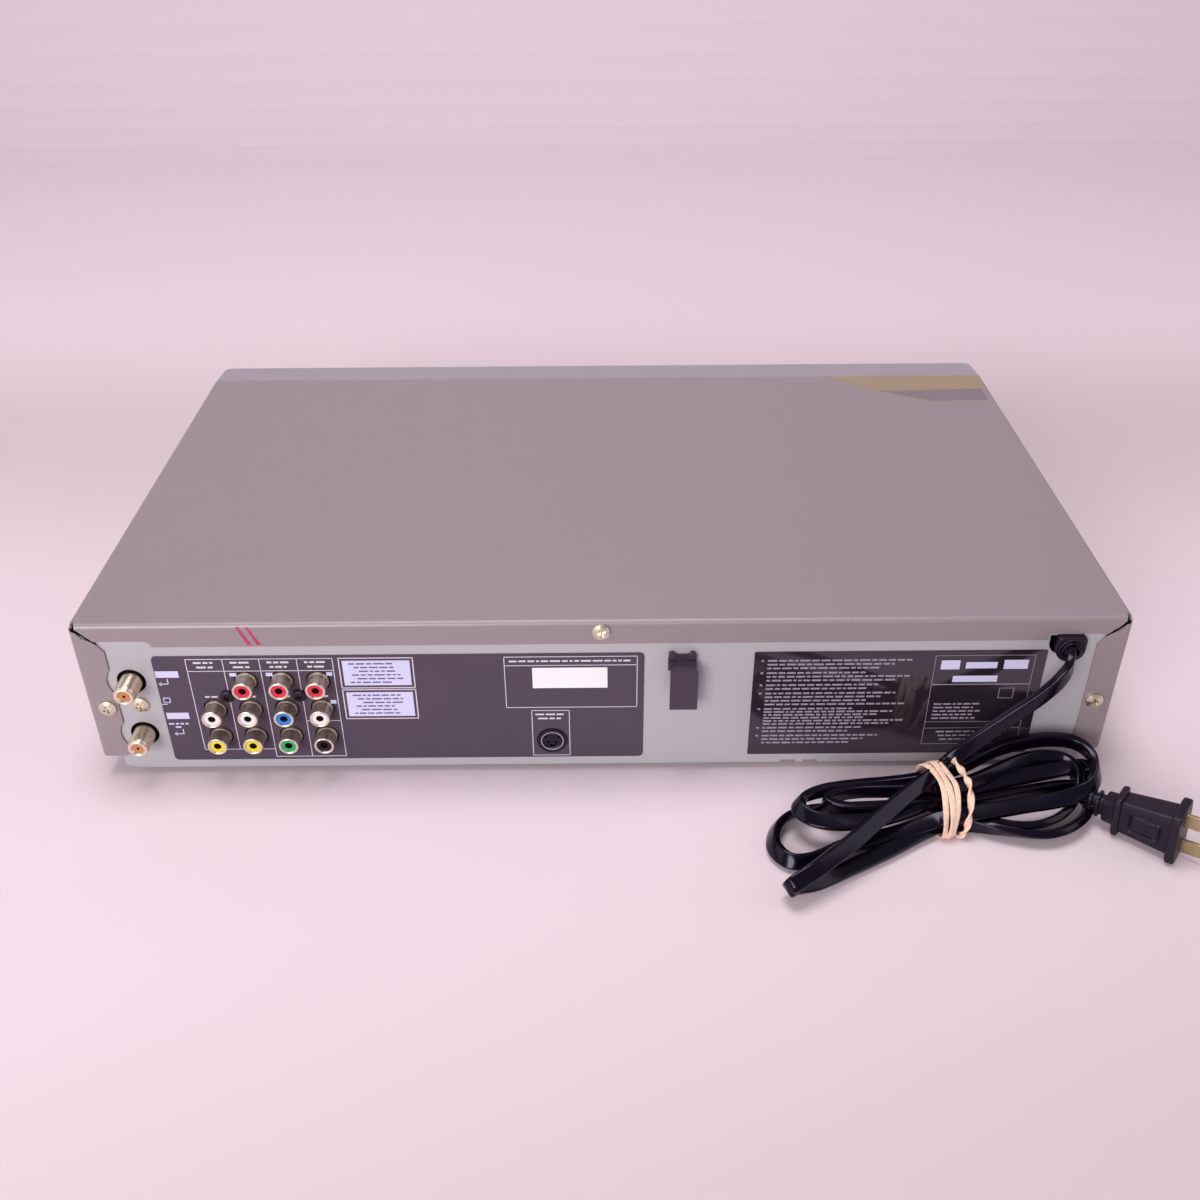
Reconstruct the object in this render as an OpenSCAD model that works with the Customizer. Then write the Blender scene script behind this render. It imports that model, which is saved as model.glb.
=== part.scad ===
// Disc and tape combination player: a steel case around a disc loader, a tape deck and three circuit boards.
// Millimetres. X runs to the right as seen from the front, the front panel faces -Y, the jacks face +Y,
// and Z is up.
// The origin is on the surface the feet stand on, under the middle of the case.

/* [Case] */
// Width over the steel cover
case_w = 430; // [426:1:446]
// Depth from the face of the front panel to the rear flanges of the cover
case_d = 266; // [264:1:290]
// Height from the soles of the feet to the top of the cover
case_h = 78.5; // [78:0.5:90]
// Thickness of the cover's sheet
cover_t = 0.8; // [0.6:0.1:1]
// Outside radius of the cover's bends
cover_bend = 2; // [1.6:0.1:2.6]
// Height of the rear flange along the top edge
top_flange = 10.9; // [9:0.1:12]
// How much the top flange is cut back near its ends
top_flange_step = 2.9; // [2:0.1:4]
// Width of the rear flanges down the sides
side_flange = 12.6; // [12:0.1:14]
// Height of the cover's lower edge above the pan's underside
cover_lift = 7.2; // [6:0.1:9]
// How far the pan's sides stand inside the cover's outer faces
pan_inset = 8.6; // [8:0.1:9.2]
// Thickness of the pan's and the rear panel's sheet
pan_t = 1; // [0.8:0.1:1.2]
// Height of the pan's side walls
pan_wall = 21; // [16:1:30]
// Height of the feet below the pan
foot_h = 3.2; // [2.5:0.1:6]
// Radius of a foot
foot_r = 14; // [10:0.5:16]

/* [Front panel] */
// Depth of the front panel from its face to its rear edge
bezel_d = 24; // [23:0.5:26]
// Gap between the front panel and the cover's front edge
bezel_gap = 0.9; // [0.5:0.1:1.5]
// Thickness of the front panel's moulded wall
bezel_t = 2.5; // [2:0.1:3]
// How far the top of the front panel slopes down to its face
bezel_drop = 2; // [1:0.5:4]
// Radius of a round button
round_button_r = 7; // [5:0.5:9]
// Width of a bar button
bar_button_w = 22; // [16:1:25]
// Height of a bar button
bar_button_h = 8; // [6:0.5:10]
// How far a button travels when it is pressed
button_travel = 0.8; // [0.5:0.1:1]
// Depth of the wells that the buttons' caps stand in
well_d = 1.2; // [0.8:0.1:1.4]

/* [Rear jacks] */
// Outside radius of a phono jack's barrel
rca_r = 4.15; // [4:0.05:4.3]
// How far a phono jack stands out of the rear panel
rca_reach = 8; // [7:0.5:9]
// Distance between columns of phono jacks
rca_pitch_x = 15; // [14:0.1:15.5]
// Distance between rows of phono jacks
rca_pitch_z = 14.5; // [13:0.1:15]
// Height of the lowest row above the pan's underside
rca_low = 17.5; // [15:0.5:19]
// Distance from the outer column of phono jacks to the cover's side
rca_side = 52.7; // [51:0.1:56]
// Outside radius of an aerial connector's barrel
aerial_r = 4.75; // [4.5:0.05:5]
// How far the aerial connectors stand out past the cover's rear flanges
aerial_reach = 10; // [8:0.5:12]
// Distance from the aerial connectors to the cover's side
aerial_side = 20.3; // [19.5:0.1:21]
// Height of the lower aerial connector above the pan's underside
aerial_low = 19.1; // [18:0.1:20]
// Distance between the two aerial connectors
aerial_pitch = 27.6; // [26:0.1:29]
// Thickness of the printed labels
label_t = 0.25; // [0.2:0.05:0.4]

/* [Disc loader] */
// Width of the loader's frame
loader_w = 147; // [144:1:150]
// Depth of the loader's frame
loader_d = 190; // [188:1:196]
// Radius of the tray's recess for a disc
disc_r = 60.75; // [60.5:0.05:61]
// How far the tray slides out
tray_travel = 150; // [120:1:152]
// Teeth of the tray's drive gear
gear_teeth = 20; // [18:2:22]
// Module of the tray's drive gear and rack
gear_module = 1; // [0.9:0.05:1.1]
// How far the pickup travels along its rods
pickup_travel = 32; // [24:1:34]
// How far the traverse lifts the turntable to the disc
traverse_lift = 5; // [4:0.5:5]

/* [Tape deck] */
// Width of a tape cassette
cassette_w = 187.4; // [187:0.1:188]
// Depth of a tape cassette
cassette_d = 103; // [102:0.5:104]
// Height of a tape cassette
cassette_h = 25.2; // [25:0.1:25.5]
// How far the cassette cage slides in
cage_travel = 40; // [36:1:40]
// How far the cassette cage drops onto the reels
cage_drop = 12; // [8:0.5:12]
// Radius of the video head drum
drum_r = 31; // [30:0.5:31]
// Lean of the video head drum
drum_lean = 5; // [0:0.5:6]
// Distance between the two reels
reel_pitch = 97; // [92:1:98]

/* [Power cord] */
// Thickness of the plain round cord
cord_d = 5; // [4:0.5:6]
// Width of the plug's front flange, which stands upright
plug_w = 23.4; // [22:0.2:25]
// Thickness of the plug's front flange
plug_t = 18; // [16:0.5:19]
// Length of the plug's blades
blade_l = 16; // [14:0.5:18]

/* [Hidden] */
// Clearances
slip = 0.1;        // a small piece in its hole or seat
run = 0.05;        // radial clearance of a shaft in its bearing
gap = 0.3;         // between pieces that move past each other
eps = 0.01;        // overlap of two shapes of one piece

// The case's planes
side_x = case_w / 2;
rear_y = (case_d - aerial_reach) / 2;
front_y = rear_y - case_d;
bezel_back = front_y + bezel_d;
cover_front = bezel_back + bezel_gap;
pan_z = foot_h;
floor_z = pan_z + pan_t;
under_z = case_h - cover_t;
cover_low = pan_z + cover_lift;
pan_x = side_x - pan_inset;
inner_x = pan_x - pan_t;
panel_y = rear_y - cover_t;
panel_in = panel_y - pan_t;
label_y = panel_y + label_t;

// Circuit boards
board_t = 1.6;
board_lift = 5.8;
board_z = floor_z + board_lift;
board_top = board_z + board_t;
standoff_r = 3;
main_left = -pan_x + 156.4;
main_right = inner_x - 1.4;
main_front = front_y + 38;
rear_gap = 2.2;
board_rear = panel_in - rear_gap;
power_left = -inner_x + 5.4;
power_right = power_left + 136;
power_front = front_y + 118;

// Screws
screw_head_r = 3.6;
screw_head_h = 1.9;
screw_r = 1.5;
screw_l = 7;
cross_w = 1;
flange_screw_x = side_x - 8;
flange_screw_z = pan_z + 33.6;
top_screw_z = case_h - 4.7;
panel_screw_x = side_x - 21.6;
panel_screw_z = pan_z + 34.7;
jack_screw_r = 2.8;
jack_screw_z = pan_z + 39.1;

// The cover's corners, measured in from its side and down from its top
relief_r = 1.7;
relief_in = 1.2;
slit_end = [4.7, 5];
mitre_end = [9, 8];
knee = [12.5, 12.8];
slit_w = 1.4;
seam_w = 0.4;
arc_r = 10;
step_in = 32.2;
step_r = 2.9;
corner_cut = 2;
lip_t = 0.8;

// The rear panel
panel_wide = side_x - 2.5;
panel_top = case_h - 2;
ear_z = cover_low + 1;
notch_h = 1.2;
notch_w = 6.4;
notch_x = [-80.8, -90.3];
aerial_hole = 6;
rca_hole = 5.2;

// The jacks
aerial_x = side_x - aerial_side;
aerial_z = [pan_z + aerial_low, pan_z + aerial_low + aerial_pitch];
rca_x0 = side_x - rca_side;
rca_z0 = pan_z + rca_low;
rca_wall = 0.8;
rca_rim = 0.6;
pin_hole = 1.6;
// Column and row of each phono jack: columns count inwards, rows count upwards
red_jacks = [[1, 2], [2, 2], [3, 2]];
white_jacks = [[0, 1], [1, 1], [3, 1]];
yellow_jacks = [[0, 0], [1, 0]];
blue_jacks = [[2, 1]];
green_jacks = [[2, 0]];
black_jacks = [[3, 0]];
all_jacks = concat(red_jacks, white_jacks, yellow_jacks, blue_jacks, green_jacks, black_jacks);
jack_screw_x = [rca_x0 - 0.41 * rca_pitch_x, rca_x0 - 2.42 * rca_pitch_x];
jack_deep = 14;
jack_edge = 8;
svideo_x = rca_x0 - 141.1;
svideo_z = pan_z + 13.4;
svideo_r = 6.3;
svideo_shell_r = 4.9;
svideo_shell_t = 0.45;
svideo_hole = 6.6;
svideo_boss = 0.8;
svideo_box = [14.4, 12];

// The printed labels: left, right, bottom and top as seen in X and Z
jack_label_x = [rca_x0 - 180, rca_x0 + 22.2];
jack_label_z = [pan_z + 4.2, case_h - 15.9];
rear_label_x = [-side_x + 31.8, -side_x + 152.1];
rear_label_z = [pan_z + 4.7, case_h - 16.1];
label_corner = 2;

// The clip for a loose cable
clip_x = -33.2;
clip_w = 11.6;
clip_top = case_h - 16.7;
clip_drop = 24;
clip_t = 1.6;
clip_gap = 6;
clip_bridge = 3;
clip_plate = 19;

// The cord's strain relief
relief_x = -side_x + 26.1;
relief_z = case_h - 13.8;
relief_w = 13.8;
relief_h = 11.4;
relief_proud = 3.8;
relief_back = 8;
relief_neck = 1;

// The tape deck's places
deck_t = 1.5;
cage_t = 1;
rail_t = 1.5;
cage_half = cassette_w / 2 + 0.4;
carrier_half = cage_half + cage_t + gap;
bracket_half = carrier_half + rail_t + gap;
deck_half = bracket_half + rail_t;
deck_x = inner_x - deck_half - 1;
deck_z = floor_z + 21.8;
deck_top = deck_z + deck_t;
deck_front = front_y + 31;
cage_front = deck_front + 3;
cage_z = deck_top + 16.6;
cage_h = 28;
cage_lip = 8;
cassette_z = cage_z + cage_t;
carrier_z = cage_z + 2;
carrier_top = cage_z + cage_h + gap;
bar_t = 1.2;
pin_r = 2;
bracket_h = 34;
leg_r = 4;
cage_pins = [cage_front + 24, cage_front + 84];
carrier_pins = [cage_front + 33, cage_front + 73];
cage_pin_z = cage_z + 22;
carrier_pin_z = deck_top + 28;
cage_rear = cage_front + cassette_d;
drum_y = cage_rear + cage_travel + drum_r + 7;
drum_gap = 0.3;
base_h = 11;
drum_h = 13;
drum_shaft = 3;
reel_y = cage_rear + cage_travel - 59;
reel_r = 17;
reel_post = 2;
spindle_r = 6;
capstan_x = deck_x + 55;
capstan_y = cage_rear + cage_travel + 11;
capstan_r = 1.5;
flywheel_r = 21;
roller_r = 7;
roller_y = capstan_y + capstan_r + 1 + roller_r;
tail_half = 45;
tail_y = drum_y + drum_r + 1;
// The cassette door
door_t = 2;
slot_half = cassette_w / 2 + 0.9;
slot_low = cassette_z - 0.7;
slot_high = cassette_z + cassette_h + 3.4;
door_half = slot_half - 0.4;
door_low = slot_low + 0.4;
door_hinge_z = slot_high - 2;
door_hinge_y = front_y + 2.5;
door_pin_r = 0.9;
door_pin_l = 2.5;
hinge_block = 3.5;

// The disc loader's places
loader_x = -inner_x + loader_w / 2 + 1;
loader_t = 2.5;
loader_front = front_y + 26;
loader_rear = loader_front + loader_d;
loader_z = floor_z + 31.8;
loader_base = loader_z + 2;
loader_h = 36;
loader_in = loader_w / 2 - loader_t;
tray_z = loader_z + 18;
tray_t = 6;
tray_half = disc_r + 3.25;
rail_w = 6;
rail_h = 3;
rail_z = tray_z + 1.5;
tray_front = front_y + 3.4;
tray_rear = loader_rear - 18;
disc_y = tray_front + 29 + disc_r;
recess_d = 2.5;
slot_r = 19;
ledge = 5;
fascia_half = 72;
fascia_z = tray_z - 6;
fascia_h = 20;
fascia_t = 3;
gear_r = gear_module * gear_teeth / 2;
gear_h = 5;
gear_y = loader_front + 17;
rack_x = loader_x - tray_half + 4;
gear_x = rack_x + gear_r;
gear_z = tray_z - gear_h - 0.7;
gear_post = 2;
tooth_slack = 0.3;
bridge_half = 18;
bridge_t = 2;
bridge_z = loader_z + loader_h - bridge_t;
puck_r = 11;
puck_flange = 14;
traverse_z = loader_base + gap;
traverse_half = 32;
traverse_t = 1.5;
motor_r = 13;
motor_h = 9;
table_r = 15;
table_z = traverse_z + traverse_t + motor_h + gap;
boss_r = 7.4;
disc_t = 1.2;
puck_z = table_z + 4 + traverse_lift + disc_t + gap;
rod_r = 1.5;
rod_x = 24;
rod_z = traverse_z + 5.7;
sled_half = 27;
sled_d = 20;
sled_y = disc_y + motor_r + 3 + sled_d / 2;
sled_h = 6.4;
rod_y0 = disc_y - 22;
rod_y1 = sled_y + sled_d / 2 + pickup_travel + 2 * gap;

// The front panel's fittings
board_front = front_y + 16;
switch_h = 3.6;
plunger_h = 1;
button_end = board_front - switch_h - plunger_h - button_travel - 0.2;
cap_skirt = 1.2;
power_button_at = [deck_x - deck_half - 20, pan_z + 57];
open_button_at = [deck_x - deck_half - 20, pan_z + 38];
row_z = pan_z + 24;
row_pitch = bar_button_w + 6;
row_x = deck_x - 2 * row_pitch;
lens_x = [loader_x - 68, loader_x + 68];
lens_z = [pan_z + 17, pan_z + 40];
well_edge = 3;
lens_t = 2;
lens_edge = 2;

// The cord's route from the strain relief to the hank: X and Y from the strain relief, height as a part
// of the way up from the hank's top to the strain relief
cord_points = [
    [-0.6, 3.8, 1],
    [-0.7, 6.8, 0.967],
    [0.3, 10.3, 0.897],
    [2.7, 12.3, 0.809],
    [6.3, 13.3, 0.725],
    [12.1, 13.8, 0.618],
    [19.3, 14.3, 0.473],
    [25.6, 15.3, 0.33],
    [33.9, 17.3, 0.154],
    [41.4, 20.8, 0.05],
    [43.6, 22.4, 0.02],
];
cord_sides = 8;
// The hank: its middle, its turn, and the round ends' centres and radii
hank_at = [relief_x + 48.9, panel_y + 32.8];
hank_turn = 15;
hank_ends = [[49, 5], [-47, 5]];
hank_end_r = [25, 24];
hank_waist = 12.5;
hank_h = 18;
band_t = 1.2;
band_w = 7;
// The plug: where its front flange stands, and how its axis turns and tips
plug_at = [relief_x - 39.4, panel_y + 53.4];
plug_turn = 142;
plug_tip = 5;
plug_body_l = 22.5;
tail_notch = [12.4, 10.2];

// ---- helpers ----

// A shape drawn in X and Z, as thick as the stretch of Y from y0 to y1
module along_y(y0, y1) {
    translate([0, y1, 0])
        rotate([90, 0, 0])
            linear_extrude(y1 - y0)
                children();
}

// A shape drawn in Y and Z, as thick as the stretch of X from x0 to x1
module along_x(x0, x1) {
    translate([x0, 0, 0])
        rotate([90, 0, 90])
            linear_extrude(x1 - x0)
                children();
}

// A box between two corners
module span(a, b) {
    translate(a)
        cube(b - a);
}

// A rectangle between two corners with round corners
module round_rect(a, b, r) {
    difference() {
        translate(a)
            square(b - a);
        for (sx = [0, 1], sy = [0, 1])
            translate([sx ? b[0] : a[0], sy ? b[1] : a[1]])
                mirror([sx, 0])
                    mirror([0, sy])
                        difference() {
                            translate([-eps, -eps])
                                square(r + eps);
                            translate([r, r])
                                circle(r, $fn = 48);
                        }
    }
}

// A cylinder that points along +Y from y0 to y1
module rod_y(x, z, r, y0, y1) {
    translate([x, y0, z])
        rotate([-90, 0, 0])
            cylinder(h = y1 - y0, r = r, $fn = 64);
}

// An upright cylinder
module post(x, y, r, h) {
    translate([x, y, 0])
        cylinder(h = h, r = r, $fn = 48);
}

// A cylinder that points along +X from x0 to x1
module rod_x_axis(y, z, r, x0, x1) {
    translate([x0, y, z])
        rotate([0, 90, 0])
            cylinder(h = x1 - x0, r = r, $fn = 48);
}

// A pan-head screw at a point of the rear, its head's seat at y
module pan_screw(x, z, y, head_r, length) {
    translate([x, y, z])
        rotate([-90, 0, 0])
            difference() {
                union() {
                    translate([0, 0, -length])
                        cylinder(h = length + eps, r = screw_r, $fn = 32);
                    rotate_extrude($fn = 64)
                        intersection() {
                            square([head_r, screw_head_h]);
                            translate([0, screw_head_h - 2.2 * head_r])
                                circle(2.2 * head_r, $fn = 96);
                        }
                }
                for (a = [0, 90])
                    rotate([0, 0, a + 20])
                        translate([-head_r / 2, -cross_w / 2, screw_head_h / 2])
                            cube([head_r, cross_w, screw_head_h]);
            }
}

function jack_x(cell) = rca_x0 - cell[0] * rca_pitch_x;
function jack_z(cell) = rca_z0 + cell[1] * rca_pitch_z;

// ---- case ----

// A rear flange's outline, in X and Z, for the right-hand end
module side_flange_outline() {
    difference() {
        polygon([
            [side_x, cover_low],
            [side_x, case_h - relief_in],
            [side_x - relief_in, case_h - relief_in],
            [side_x - slit_end[0], case_h - slit_end[1] - slit_w],
            [side_x - mitre_end[0], case_h - mitre_end[1] - seam_w],
            [side_x - knee[0], case_h - knee[1] - seam_w],
            [side_x - side_flange, cover_low + corner_cut],
            [side_x - side_flange + corner_cut, cover_low],
        ]);
    }
}

module top_flange_outline() {
    low = case_h - top_flange;
    high = low + top_flange_step;
    half = side_x - step_in;
    difference() {
        polygon([
            [-side_x + relief_in, case_h - cover_bend],
            [-side_x + slit_end[0] + slit_w, case_h - slit_end[1]],
            [-side_x + mitre_end[0], high],
            [-half - step_r, high],
            [-half, low],
            [half, low],
            [half + step_r, high],
            [side_x - mitre_end[0], high],
            [side_x - slit_end[0] - slit_w, case_h - slit_end[1]],
            [side_x - relief_in, case_h - cover_bend],
        ]);
        for (s = [-1, 1])
            translate([s * (half + step_r), low])
                circle(step_r, $fn = 48);
    }
}

module top_cover() {
    low_x = side_x - cover_bend;
    bend_y = rear_y - cover_bend;
    inner_r = cover_bend - cover_t;
    color("#9b8f95")
        difference() {
            union() {
                // top, sides and the bends between them
                along_y(cover_front, bend_y)
                    difference() {
                        union() {
                            translate([-side_x, cover_low])
                                square([case_w, case_h - cover_low - cover_bend]);
                            translate([-low_x, cover_low])
                                square([2 * low_x, case_h - cover_low]);
                            for (s = [-1, 1])
                                translate([s * low_x, case_h - cover_bend])
                                    circle(cover_bend, $fn = 48);
                        }
                        translate([-side_x + cover_t, cover_low - 1])
                            square([case_w - 2 * cover_t, case_h - cover_low - cover_bend + 1]);
                        translate([-low_x, cover_low - 1])
                            square([2 * low_x, under_z - cover_low + 1]);
                        for (s = [-1, 1])
                            translate([s * low_x, case_h - cover_bend])
                                circle(inner_r, $fn = 48);
                    }
                // the bend down to the top flange
                along_x(-side_x + relief_in, side_x - relief_in)
                    translate([bend_y, case_h - cover_bend])
                        intersection() {
                            difference() {
                                circle(cover_bend, $fn = 48);
                                circle(inner_r, $fn = 48);
                            }
                            square(cover_bend);
                        }
                along_y(panel_y, rear_y)
                    top_flange_outline();
                // the bends to the side flanges
                for (s = [-1, 1])
                    mirror([s < 0 ? 1 : 0, 0, 0]) {
                        translate([low_x, bend_y, cover_low])
                            linear_extrude(case_h - relief_in - cover_low)
                                intersection() {
                                    difference() {
                                        circle(cover_bend, $fn = 48);
                                        circle(inner_r, $fn = 48);
                                    }
                                    square(cover_bend);
                                }
                        along_y(panel_y, rear_y)
                            intersection() {
                                side_flange_outline();
                                translate([0, cover_low])
                                    square([low_x, case_h]);
                            }
                        // the lip under the side that rests on the pan's wall
                        span(
                            [pan_x, cover_front + 12, cover_low],
                            [side_x - cover_t / 2, bend_y - 6, cover_low + lip_t]
                        );
                    }
            }
            for (s = [-1, 1]) {
                rod_y(s * (side_x - relief_in), case_h - relief_in, relief_r, rear_y - 3.4, rear_y + 1);
                rod_y(s * flange_screw_x, flange_screw_z, screw_r + slip, panel_y - 1, rear_y + 1);
            }
            for (z = aerial_z)
                rod_y(aerial_x, z, arc_r, panel_y - 1, rear_y + 1);
            rod_y(0, top_screw_z, screw_r + slip, panel_y - 1, rear_y + 1);
            along_y(panel_y - 1, rear_y + 1)
                grommet_outline(slip);
        }
}

module chassis_pan() {
    pan_front = deck_front - 3;
    legs = concat(deck_legs(), loader_legs());
    color("#b4b0b4")
        difference() {
            union() {
                span([-pan_x, pan_front, pan_z], [pan_x, panel_in, floor_z]);
                for (s = [-1, 1])
                    mirror([s < 0 ? 1 : 0, 0, 0])
                        span([inner_x, pan_front, pan_z], [pan_x, panel_in, floor_z + pan_wall]);
                span([-pan_x, pan_front, pan_z], [pan_x, pan_front + pan_t, floor_z + 8]);
                for (p = main_posts())
                    translate([p[0], p[1], floor_z - eps])
                        cylinder(h = board_lift + eps, r = standoff_r, $fn = 32);
                for (p = power_posts())
                    translate([p[0], p[1], floor_z - eps])
                        cylinder(h = board_lift + eps, r = standoff_r, $fn = 32);
            }
            for (p = foot_places())
                translate([p[0], p[1], pan_z - 1])
                    cylinder(h = pan_t + 2, r = foot_peg + slip, $fn = 32);
        }
}

function main_posts() =
    [for (x = [main_left + 8, deck_x], y = [main_front + 8, board_rear - 30]) [x, y]];
function power_posts() =
    [for (x = [power_left + 24, power_right - 24], y = [power_front + 8, board_rear - 8]) [x, y]];
function deck_legs() =
    [for (x = [-1, 1], y = [deck_front + 10, reel_y + 62]) [deck_x + x * (deck_half - 8), y]];
function loader_legs() =
    [for (x = [-1, 1], y = [loader_front + 9, loader_rear - 5]) [loader_x + x * (loader_w / 2 - 5), y]];
function foot_places() = [for (x = [-1, 1], y = [front_y + 46, rear_y - 32]) [x * (pan_x - 36), y]];
foot_peg = 4;

module feet() {
    color("#222226")
        for (p = foot_places())
            translate([p[0], p[1], 0]) {
                rotate_extrude($fn = 64)
                    polygon([[0, 0], [foot_r - 1.5, 0], [foot_r, 1.5], [foot_r, pan_z], [0, pan_z]]);
                translate([0, 0, pan_z - eps])
                    cylinder(h = pan_t + 0.8 + eps, r = foot_peg, $fn = 32);
            }
}

module rear_panel() {
    color("#b9b4b9")
        difference() {
            along_y(panel_in, panel_y)
                difference() {
                    polygon([
                        [-pan_x + 6, pan_z],
                        [pan_x - 6, pan_z],
                        [pan_x, pan_z + 1.4],
                        [pan_x, ear_z],
                        [panel_wide, ear_z],
                        [panel_wide, panel_top - 4],
                        [panel_wide - 4, panel_top],
                        [-panel_wide + 4, panel_top],
                        [-panel_wide, panel_top - 4],
                        [-panel_wide, ear_z],
                        [-pan_x, ear_z],
                        [-pan_x, pan_z + 1.4],
                    ]);
                    for (x = notch_x)
                        translate([x - notch_w / 2, pan_z - 1])
                            square([notch_w, notch_h + 1]);
                    grommet_outline(slip - relief_neck);
                }
            for (z = aerial_z)
                rod_y(aerial_x, z, aerial_hole, panel_in - 1, panel_y + 1);
            for (cell = all_jacks)
                rod_y(jack_x(cell), jack_z(cell), rca_hole, panel_in - 1, panel_y + 1);
            rod_y(svideo_x, svideo_z, svideo_hole, panel_in - 1, panel_y + 1);
            for (s = [-1, 1])
                rod_y(s * flange_screw_x, flange_screw_z, screw_r + slip, panel_in - 1, panel_y + 1);
            rod_y(0, top_screw_z, screw_r + slip, panel_in - 1, panel_y + 1);
            rod_y(panel_screw_x, panel_screw_z, screw_r + slip, panel_in - 1, panel_y + 1);
            for (x = jack_screw_x)
                rod_y(x, jack_screw_z, screw_r + slip, panel_in - 1, panel_y + 1);
            for (s = [-1, 1])
                span(
                    [clip_x + s * 3.5 - 1.2, panel_in - 1, clip_top - 8.2],
                    [clip_x + s * 3.5 + 1.2, panel_y + 1, clip_top - 3.8]
                );
        }
}

module cover_screws() {
    color("#cdb9a4") {
        for (s = [-1, 1])
            pan_screw(s * flange_screw_x, flange_screw_z, rear_y, screw_head_r, screw_l);
        pan_screw(0, top_screw_z, rear_y, screw_head_r, screw_l);
        pan_screw(panel_screw_x, panel_screw_z, panel_y, screw_head_r, screw_l);
    }
}

module jack_screws() {
    color("#141416")
        for (x = jack_screw_x)
            pan_screw(x, jack_screw_z, label_y, jack_screw_r, screw_l);
}

module jack_label() {
    color("#4b434d")
        difference() {
            along_y(panel_y, label_y)
                round_rect(
                    [jack_label_x[0], jack_label_z[0]],
                    [jack_label_x[1], jack_label_z[1]],
                    label_corner
                );
            for (cell = all_jacks)
                rod_y(jack_x(cell), jack_z(cell), rca_hole, panel_y - 1, label_y + 1);
            rod_y(svideo_x, svideo_z, svideo_hole, panel_y - 1, label_y + 1);
            for (x = jack_screw_x)
                rod_y(x, jack_screw_z, screw_r + slip, panel_y - 1, label_y + 1);
        }
}

module rear_label() {
    color("#17141a")
        along_y(panel_y, label_y)
            round_rect([rear_label_x[0], rear_label_z[0]], [rear_label_x[1], rear_label_z[1]], 0.8);
}

// ---- rear jacks ----

module tuner_can() {
    can_w = 20;
    can_d = 54;
    top = aerial_z[1] + 9;
    color("#a8a8aa")
        difference() {
            span(
                [aerial_x - can_w / 2 - 2, panel_in - can_d, board_top],
                [aerial_x + can_w / 2 - 2, panel_in, top]
            );
            rod_y(panel_screw_x, panel_screw_z, screw_r + run, panel_in - screw_l, panel_in + 1);
        }
}

module aerial_barrels() {
    tip = rear_y + aerial_reach;
    color("#b3a48f")
        for (z = aerial_z)
            translate([aerial_x, panel_in, z])
                rotate([-90, 0, 0])
                    rotate_extrude($fn = 64)
                        polygon([
                            [3.55, 0],
                            [aerial_r, 0],
                            [aerial_r, tip - panel_in - 0.8],
                            [aerial_r - 0.5, tip - panel_in],
                            [3.55, tip - panel_in],
                        ]);
}

module aerial_insulators() {
    tip = rear_y + aerial_reach;
    color("#d98a4e")
        for (z = aerial_z)
            difference() {
                rod_y(aerial_x, z, 3.5, panel_in, tip - 0.5);
                rod_y(aerial_x, z, 0.5, tip - 8, tip);
            }
}

module jack_block() {
    left = jack_x([3, 0]) - jack_edge;
    right = rca_x0 + jack_edge;
    top = jack_z([0, 2]) + 7.5;
    color("#1c1c1f")
        difference() {
            span([left, panel_in - jack_deep, board_top], [right, panel_in, top]);
            for (x = jack_screw_x)
                rod_y(x, jack_screw_z, screw_r + run, panel_in - screw_l, panel_in + 1);
        }
}

module phono_barrels() {
    tip = panel_y + rca_reach;
    color("#a9a09a")
        for (cell = all_jacks)
            translate([jack_x(cell), panel_in, jack_z(cell)])
                rotate([-90, 0, 0])
                    rotate_extrude($fn = 64)
                        polygon([
                            [rca_r - rca_wall, 0],
                            [rca_r, 0],
                            [rca_r, tip - panel_in - 0.4],
                            [rca_r - 0.4, tip - panel_in],
                            [rca_r - rca_wall, tip - panel_in],
                        ]);
}

module phono_inserts(cells, paint) {
    tip = panel_y + rca_reach - rca_rim;
    color(paint)
        for (cell = cells)
            difference() {
                rod_y(jack_x(cell), jack_z(cell), rca_r - rca_wall - run, panel_in, tip);
                rod_y(jack_x(cell), jack_z(cell), pin_hole, panel_in + 1, tip + 1);
            }
}

module phono_red() { phono_inserts(red_jacks, "#c4252e"); }
module phono_white() { phono_inserts(white_jacks, "#e8e4e0"); }
module phono_yellow() { phono_inserts(yellow_jacks, "#e3d32a"); }
module phono_blue() { phono_inserts(blue_jacks, "#2d6fc4"); }
module phono_green() { phono_inserts(green_jacks, "#2f9c57"); }
module phono_black() { phono_inserts(black_jacks, "#17171a"); }

module svideo_shell() {
    color("#9c9894")
        difference() {
            rod_y(svideo_x, svideo_z, svideo_shell_r, panel_in - 3, panel_y + svideo_boss);
            rod_y(
                svideo_x, svideo_z, svideo_shell_r - svideo_shell_t,
                panel_in - 4, panel_y + svideo_boss + 1
            );
        }
}

module svideo_socket() {
    face = panel_y + svideo_boss;
    color("#1b1b1e")
        difference() {
            union() {
                span(
                    [svideo_x - svideo_box[0] / 2, panel_in - svideo_box[1], board_top],
                    [svideo_x + svideo_box[0] / 2, panel_in, svideo_z + svideo_r + 1]
                );
                rod_y(svideo_x, svideo_z, svideo_r, panel_in - eps, face);
            }
            difference() {
                rod_y(svideo_x, svideo_z, svideo_shell_r + run, panel_in - 3, face + 1);
                rod_y(svideo_x, svideo_z, svideo_shell_r - svideo_shell_t - run, panel_in - 4, face - 1);
            }
            for (x = [-1, 1], z = [-1, 1])
                rod_y(svideo_x + x * (z > 0 ? 2.8 : 1.7), svideo_z + z * 1.5, 0.6, panel_in - 5, face);
            span([svideo_x - 1.2, panel_in - 5, svideo_z - 3.9], [svideo_x + 1.2, face, svideo_z - 2.6]);
        }
}

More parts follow.
